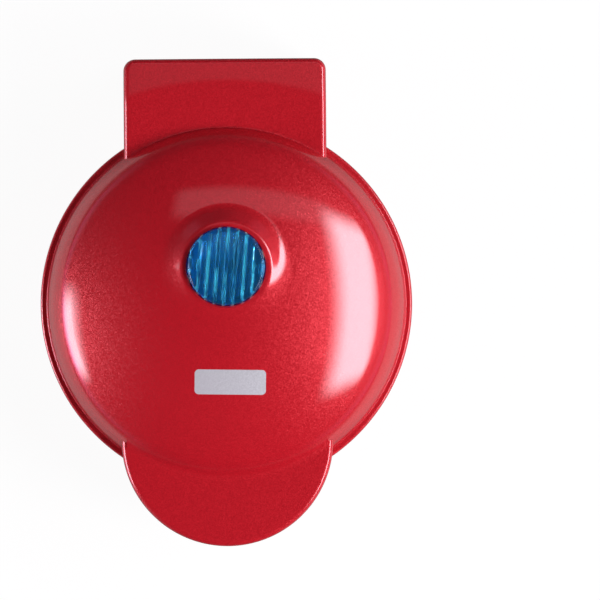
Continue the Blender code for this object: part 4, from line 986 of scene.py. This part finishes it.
# One copy of a piece at each point of the mesh, each turned its own way about Z.
def placedTree():
    tree, given = groupOf("placedCopies", {"Piece": "Object", "Largest Turn": "Float", "Seed": "Int",
                                           "Material": "Material"})
    values = {3: given["Largest Turn"], "Seed": given["Seed"]}
    turn = addNode(tree, "FunctionNodeRandomValue", values, data_type="FLOAT").outputs[1]
    spin = addNode(tree, "ShaderNodeCombineXYZ", {"Z": turn}).outputs[0]
    return copiesOn(tree, given, {"Points": given["Geometry"], "Rotation": spin})


# Copies of a piece on a square grid, kept within a round reach.
def gridTree():
    tree, given = groupOf("roundGrid", {"Piece": "Object", "Pitch": "Float", "Count": "Int",
                                        "Reach": "Float", "Material": "Material"})
    count = given["Count"]
    size = calc(tree, "MULTIPLY", calc(tree, "SUBTRACT", count, 1.0), given["Pitch"])
    values = {"Size X": size, "Size Y": size, "Vertices X": count, "Vertices Y": count}
    points = addNode(tree, "GeometryNodeMeshGrid", values).outputs["Mesh"]
    away = vectorCalc(tree, "LENGTH", addNode(tree, "GeometryNodeInputPosition").outputs[0])
    inside = addNode(tree, "FunctionNodeCompare", {0: away, 1: given["Reach"]}, data_type="FLOAT",
                     operation="LESS_THAN").outputs[0]
    return copiesOn(tree, given, {"Points": points, "Selection": inside})


placedCopies = placedTree()
roundGrid = gridTree()


# Runs a node tree on a cloud of points and keeps the result as a plain mesh.
def grow(name, tree, places, piece, look, values):
    cloud = bpy.data.meshes.new(name)
    cloud.from_pydata([tuple(value * mm for value in place) for place in places], [], [])
    made = addObject(name, cloud)
    step = made.modifiers.new("grow", "NODES")
    step.node_group = tree
    sockets = {item.name: item.identifier for item in tree.interface.items_tree if item.in_out == "INPUT"}
    for label, value in {"Piece": piece, "Material": looks[look], **values}.items():
        step[sockets[label]] = value
    applyAll(made)
    bpy.data.objects.remove(piece)
    return made


# Cooking plates

grid = {
    "pitch": 10.8,
    "count": 10,
    "reach": 46.2,
    "base": 6.6,
    "tip": 5.2,
    "height": 5.0,
    "corner": 0.7,
    "topRound": 0.6,
}
plate = {
    "radius": 50.8,
    "lip": 1.5,
    "lipRound": 0.3,
    "taper": 1.1,
    "floor": 7.5,
    "back": 9.5,
    "boss": 13.5,
    "bossRadius": 3.0,
    "studRadius": (4.0, 2.0),
    "stud": 16.2,
    "studEnd": 19.6,
}


def roundedSquare(half, corner, z):
    points = []
    for n, (sx, sy) in enumerate(((1, 1), (-1, 1), (-1, -1), (1, -1))):
        points += arcPoints((sx * (half - corner), sy * (half - corner)), corner, 90 * n, 90 * n + 90, 4)
    return [(x, y, z) for x, y in points]


# A tapered square peg with round edges, standing on z = 0 and sunk a little into the floor.
def pegPiece():
    height, bend, corner = grid["height"], grid["topRound"], grid["corner"]
    half, taper = grid["base"] / 2, (grid["base"] - grid["tip"]) / 2 / height
    rings = []
    for share in (1, 0.66, 0.33):
        angle = math.radians(90 * share)
        inset = bend * (1 - math.cos(angle))
        z = height - bend * (1 - math.sin(angle))
        rings.append(roundedSquare(half - taper * z - inset, max(corner - inset * 0.5, 0.2), z))
    for width, z in ((half - taper * (height - bend), height - bend), (half - taper * 0.35, 0.35),
                     (half + 0.12, 0.08), (half + 0.3, -0.5)):
        rings.append(roundedSquare(width, corner, z))
    return ringLoft("peg", rings)


# Cast dish with a waffle grid, three bosses and a centre stud on its back.
def cookingPlate(name, side):
    radius, floor, back, bend = plate["radius"], plate["floor"], plate["back"], plate["lipRound"]
    inner = radius - plate["lip"]
    bottom = inner - plate["taper"]
    thick, thin = plate["studRadius"]
    profile = [(0, floor), (bottom - 0.8, floor), (bottom - 0.2, floor - 0.25), (bottom + 0.1, floor - 0.9)]
    profile += [(inner - 0.05, 0.8)] + arcPoints((inner + bend, 0.7), bend, 180, 270, 4)
    profile += arcPoints((radius - bend, 0.7), bend, 270, 360, 4)
    profile += [(radius, back - 0.4), (radius - 0.4, back), (thick, back), (thick, plate["stud"]),
                (thin, plate["stud"]), (thin, plate["studEnd"]), (0, plate["studEnd"])]
    dish = lathe(name, [(r, level(side, d)) for r, d in profile])
    values = {"Pitch": grid["pitch"] * mm, "Count": grid["count"], "Reach": grid["reach"] * mm}
    pegs = grow("pegs", roundGrid, [(0, 0, 0)], pegPiece(), "coating", values)
    flip = Matrix.Scale(-side, 4, (0, 0, 1))
    pegs.data.transform(Matrix.Translation((0, 0, level(side, floor) * mm)) @ flip)
    if side > 0:
        pegs.data.flip_normals()
    trim(pegs, rodAlong("gridRound", "Z", grid["reach"], *levels(side, floor + 1, 1), (0, 0), 192))
    unite(dish, pegs)
    low, high = levels(side, back - 0.5, plate["boss"])
    for place in bossPlaces:
        unite(dish, rodAlong("boss", "Z", plate["bossRadius"], low, high, place))
    low, high = levels(side, floor + 0.8, plate["boss"] + 0.5)
    for place in bossPlaces:
        carve(dish, rodAlong("pilotHole", "Z", base["screwHole"], low, high, place, 32))
    return smoothOut(dish, 40)


for side, body, node in ((1, "lid", "upper_cooking_plate"), (-1, "base", "lower_cooking_plate")):
    wear(cookingPlate(body + "CookingPlate", side), "coating", body, [node])


# Screws, pins, feet and gland

screw = {
    "shank": 1.5,
    "thread": 0.28,
    "threadPitch": 0.9,
    "head": 2.3,
    "headHeight": 1.6,
    "slot": 0.42,
    "slotReach": 1.35,
    "slotDepth": 0.95,
}


# Pan head screw with a cross recess; the head sits on z = 0, its shank runs down, or up.
def screwPiece(length, upward):
    head, height, shank, pitch = screw["head"], screw["headHeight"], screw["shank"], screw["threadPitch"]
    profile = [(0, height), (0.9, height - 0.03), (1.5, height - 0.2), (1.95, height - 0.55),
               (head - 0.04, height - 1.05), (head, 0.3), (head, 0.05), (head - 0.05, 0), (shank, 0)]
    core = shank - screw["thread"]
    for n in range(int(length / pitch) - 1):
        start = -0.6 - pitch * n
        profile += [(core, start - 0.1), (shank, start - 0.42), (core, start - 0.74)]
    profile += [(shank - 0.3, -length + 0.5), (shank - 0.8, -length), (0, -length)]
    made = lathe("screw", profile, 40)
    for n in range(2):
        blade = []
        for z, share in ((height + 0.2, 1.0), (height - screw["slotDepth"], 0.55)):
            reach, half = screw["slotReach"] * share, screw["slot"] * (0.6 + 0.4 * share) / 2
            corners = [(-reach, -half), (reach, -half), (reach, half), (-reach, half)]
            blade.append([(-b, a, z) if n else (a, b, z) for a, b in corners])
        carve(made, ringLoft("slot", blade))
    if upward:
        made.data.transform(Matrix.Rotation(math.pi, 4, "X"))
    return made


# The set's name gives its CAD nodes their names: lidCoverScrews stands for lid_cover_screw_1 and on.
def screwSet(name, length, places, upward, body, seed):
    made = grow(name, placedCopies, places, screwPiece(length, upward), "steel",
                {"Largest Turn": 6.283, "Seed": seed})
    stem = "".join("_" + letter.lower() if letter.isupper() else letter for letter in name[:-1])
    nodes = [f"{stem}_{n + 1}" for n in range(len(places))]
    return wear(smoothOut(made, 40), "steel", body, nodes)


screwSet("upperPlateScrews", 6, [(x, y, level(1, 16.6)) for x, y in bossPlaces], False, "lid", 3)
screwSet("lowerPlateScrews", 6, [(x, y, level(-1, 16.6)) for x, y in bossPlaces], True, "base", 5)
screwSet("lidCoverScrews", 7, [(x, y, level(1, 2.0)) for x, y, _ in columns], True, "lid", 7)
screwSet("baseCoverScrews", 7, [(x, y, level(-1, drop) - 3.6) for x, y, drop in columns], True, "base", 11)

pin = {
    "start": 13.5,
    "end": 33.8,
    "radius": 1.9,
}
rubberFoot = {
    "height": 3.7,
    "radius": 6.0,
    "rounding": 0.8,
    "grooves": (4.0, 2.8, 1.6),
    "grooveDepth": 0.35,
}


def hingePin(side, name):
    low, high, radius = pin["start"], pin["end"], pin["radius"]
    ring = [(0, low), (radius - 0.4, low), (radius, low + 0.4), (radius, high - 0.3),
            (radius - 0.08, high - 0.08), (radius - 0.3, high), (0, high)]
    made = lathe("hingePin", ring, 64)
    made.data.transform(Matrix.Rotation(side * math.pi / 2, 4, "Y"))
    made.data.transform(Matrix.Translation((0, hinge["y"] * mm, hinge["z"] * mm)))
    return wear(smoothOut(made), "steel", "lid", ["hinge_pin_" + name])


# Rubber feet with three shallow grip rings underneath.
def footSet():
    height, radius, bend = rubberFoot["height"], rubberFoot["radius"], rubberFoot["rounding"]
    profile = [(0, height), (radius - 0.3, height), (radius, height - 0.3)]
    profile += arcPoints((radius - bend, bend), bend, 0, -90, 8)
    for r in rubberFoot["grooves"]:
        deep = rubberFoot["grooveDepth"]
        profile += [(r + 0.3, 0), (r + 0.15, deep), (r - 0.15, deep), (r - 0.3, 0)]
    piece = lathe("foot", profile + [(0, 0)], 64)
    made = grow("feet", placedCopies, [(x, y, 0) for x, y in footPlaces], piece, "rubber",
                {"Largest Turn": 6.283, "Seed": 2})
    nodes = [f"foot_{end}_{side}" for end in ("front", "rear") for side in ("left", "right")]
    return wear(smoothOut(made), "rubber", "base", nodes)


# Bush in the rear wall, where the cord would enter.
def cordGland():
    profile = [(3.6, 83.0), (3.8, 83.2), (5.2, 83.2), (5.5, 82.9), (5.5, 81.0), (7.0, 81.0), (7.3, 80.7),
               (7.3, 78.8), (7.0, 78.5), (3.9, 78.5), (3.6, 78.8)]
    made = lathe("cordGland", profile, 96, closed=True)
    lift = Matrix.Translation((0, 0, base["glandHeight"] * mm))
    made.data.transform(lift @ Matrix.Rotation(-math.pi / 2, 4, "X"))
    return wear(smoothOut(made), "rubber", "base", ["cord_gland"])


hingePin(1, "right")
hingePin(-1, "left")
footSet()
cordGland()


# Pieces that keep their CAD shape

# A CAD node's shape, with its corners joined and its round faces shaded smooth.
def refined(node, look, body):
    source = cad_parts[node]
    first, *others = node.split("_")
    mesh = source.data.copy()
    mesh.transform(source.matrix_world)
    copy = addObject(first + "".join(word.capitalize() for word in others), mesh)
    return wear(smoothOut(copy, 35), look, body, [node])


keptPieces = [
    ("lid", "heater_sheath", "sheath", ["upper_heating_element"]),
    ("lid", "steel", "steel", ["upper_element_clamp", "upper_clamp_nut", "lamp_housing_screw_1",
                               "lamp_housing_screw_2"]),
    ("lid", "aluminium_sheet", "sheet", ["upper_heat_reflector"]),
    ("lid", "white_plastic", "white", ["lamp_housing"]),
    ("lid", "lamp_glass", "glass", ["indicator_lamp"]),
    ("lid", "lead_insulation", "sleeve", ["upper_heater_lead_left", "upper_heater_lead_right",
                                          "lamp_lead_left", "lamp_lead_right"]),
    ("base", "heater_sheath", "sheath", ["lower_heating_element"]),
    ("base", "steel", "steel", ["lower_element_clamp", "lower_clamp_nut", "fuse_clip"]),
    ("base", "aluminium_sheet", "sheet", ["lower_heat_reflector"]),
    ("base", "brown_phenolic", "phenolic", ["thermostat", "terminal_block"]),
    ("base", "white_plastic", "white", ["thermal_fuse"]),
    ("base", "lead_insulation", "sleeve", ["lower_heater_lead_left", "lower_heater_lead_right",
                                           "hinge_lead_left", "hinge_lead_right",
                                           "control_lead_left", "control_lead_right"]),
]
for body, slot, look, nodes in keptPieces:
    for node in nodes:
        refined(node, look, body)


# Floor, lights and camera

studio = {
    "cameraHeight": 1.6,
    "cameraY": 0.004,
    "sensor": 36.0,
    "framePixels": 600,
    "mmPerPixel": 0.3427,
    "rimPixel": (226.3, 303.5),
    "turn": 0.45,
    "plainShare": 0.95,
    "floorHalf": 4000.0,
    "floorDrop": 0.15,
}
# What the gloss sees of the floor: (start, end) in metres and the white there, aside in X and away in Y.
glossFloor = {
    "aside": (0.04, 0.12),
    "asideWhite": (0.06, 0.5),
    "away": (0.16, 0.32),
    "awayWhite": (1.0, 0.05),
}
room = {
    "tint": (1.0, 0.9, 1.0),
    "ceiling": 0.032,
    "horizon": 0.6,
    "horizonStart": 0.04,
    "horizonEnd": 0.30,
    "horizonTint": (1.0, 0.36, 0.72),
    "horizonSides": (0.45, 0.85),
    "horizonFront": 0.04,
    "boxes": [
        {"side": "top", "x": (0.92, 1.55), "y": (-0.82, 0.8), "soft": 0.16, "strength": 8.5},
        {"side": "top", "x": (-0.4, 1.0), "y": (0.66, 0.95), "soft": 0.07, "strength": 0.42},
        {"side": "top", "x": (-0.25, 0.25), "y": (0.22, 0.55), "soft": 0.1, "strength": 0.16},
        {"side": "left", "x": (-0.49, 0.06), "y": (0.10, 0.60), "soft": 0.12, "strength": 8.5},
    ],
}


# Matt white paper; what the camera and the gloss see of it is mostly plain white, with a faint shadow.
def floorLook():
    look, tree, shader, spot = newLook("paleFloor", rough=0.9, specular=0.0)
    feed(tree, shader, colour=mixColours(tree, noiseOf(tree, spot, 1.2, 3.0), (0.94, 0.94, 0.94),
                                         (0.97, 0.97, 0.97)))
    path = addNode(tree, "ShaderNodeLightPath").outputs
    split = apart(tree, spot)
    shares = []
    for axis, name in (("X", "aside"), ("Y", "away")):
        reach = calc(tree, "ABSOLUTE", split[axis])
        shares.append(spread(tree, reach, *glossFloor[name + "White"], *glossFloor[name]))
    white = calc(tree, "MAXIMUM", path["Is Camera Ray"], calc(tree, "MULTIPLY", *shares))
    seen = path["Is Camera Ray"]
    for kind in ("Is Glossy Ray", "Is Transmission Ray"):
        seen = calc(tree, "MAXIMUM", seen, path[kind])
    share = calc(tree, "MULTIPLY", seen, studio["plainShare"])
    plain = addNode(tree, "ShaderNodeEmission", {"Color": (1, 1, 1, 1), "Strength": white}).outputs[0]
    mixed = addNode(tree, "ShaderNodeMixShader", {0: share, 1: shader.outputs[0], 2: plain}).outputs[0]
    tree.links.new(mixed, tree.nodes["Material Output"].inputs["Surface"])
    return look


def addFloor():
    half, z = studio["floorHalf"], -studio["floorDrop"]
    shape = bmesh.new()
    corners = [(-half, -half, z), (half, -half, z), (half, half, z), (-half, half, z)]
    shape.faces.new([shape.verts.new(corner) for corner in corners])
    floor = meshFrom("floor", shape)
    floor.data.materials.append(floorLook())


# Soft-edged rectangle on the plane one unit above the object, or one unit to its left.
def boxMask(tree, across, along, box):
    factors = []
    for value, (low, high) in ((across, box["x"]), (along, box["y"])):
        for edge, soft in ((low, box["soft"]), (high, -box["soft"])):
            factors.append(spread(tree, value, 0.0, 1.0, edge - soft, edge + soft, "SMOOTHSTEP"))
    total = factors[0]
    for factor in factors[1:] + [box["strength"]]:
        total = calc(tree, "MULTIPLY", total, factor)
    return total


# A room that is dark overhead and pale at the sides' horizon, with softboxes drawn on two planes.
def addWorld():
    world = bpy.data.worlds.new("room")
    bpy.context.scene.world = world
    world.use_nodes = True
    tree = world.node_tree
    split = apart(tree, addNode(tree, "ShaderNodeTexCoord").outputs["Generated"])
    up = calc(tree, "MAXIMUM", split["Z"], 0.02)
    left = calc(tree, "MAXIMUM", calc(tree, "MULTIPLY", split["X"], -1), 0.02)
    planes = {
        "top": [calc(tree, "DIVIDE", split[axis], up) for axis in "XY"],
        "left": [calc(tree, "DIVIDE", split[axis], left) for axis in "YZ"],
    }
    end, start = room["horizonEnd"], room["horizonStart"]
    tone = spread(tree, split["Z"], room["ceiling"], room["horizon"], end, start, "SMOOTHSTEP")
    sides = spread(tree, calc(tree, "ABSOLUTE", split["X"]), room["horizonFront"], 1.0, *room["horizonSides"])
    tone = calc(tree, "MULTIPLY", tone, sides)
    for box in room["boxes"]:
        tone = calc(tree, "ADD", tone, boxMask(tree, *planes[box["side"]], box))
    low = spread(tree, split["Z"], 0.0, 1.0, end, start)
    ground = tree.nodes["Background"]
    tree.links.new(tone, ground.inputs["Strength"])
    tree.links.new(mixColours(tree, low, room["tint"], room["horizonTint"]), ground.inputs["Color"])


# An area lamp that the gloss doesn't show, aimed at the middle of the object.
def addLamp(name, place, size, power):
    light = bpy.data.lights.new(name, "AREA")
    light.shape = "ELLIPSE"
    light.size = light.size_y = size
    light.energy = power
    lamp = addObject(name, light)
    lamp.location = place
    lamp.rotation_euler = (Vector((0, 0, 0.03)) - Vector(place)).to_track_quat("-Z", "Y").to_euler()
    lamp.visible_glossy = False


def addCamera():
    optics = bpy.data.cameras.new("photoCamera")
    camera = addObject("photoCamera", optics)
    bpy.context.scene.camera = camera
    pixels, (rimX, rimY) = studio["framePixels"], studio["rimPixel"]
    view = pixels * studio["mmPerPixel"] * mm
    optics.sensor_width = studio["sensor"]
    optics.lens = studio["sensor"] * studio["cameraHeight"] / view
    optics.shift_x = (pixels / 2 - rimX) / pixels
    optics.shift_y = (rimY - pixels / 2) / pixels - studio["cameraY"] / view
    optics.clip_end = 20
    camera.location = (0, studio["cameraY"], parting * mm + studio["cameraHeight"])
    camera.rotation_euler = (0, 0, -math.radians(studio["turn"]))


addFloor()
addWorld()
addLamp("keyLamp", (0.85, -0.4, 0.75), 0.5, 12.8)
addLamp("frontFill", (-0.1, -0.9, 1.1), 0.6, 1.2)
addCamera()
bpy.context.scene.view_settings.view_transform = "Standard"
print("stage ready")
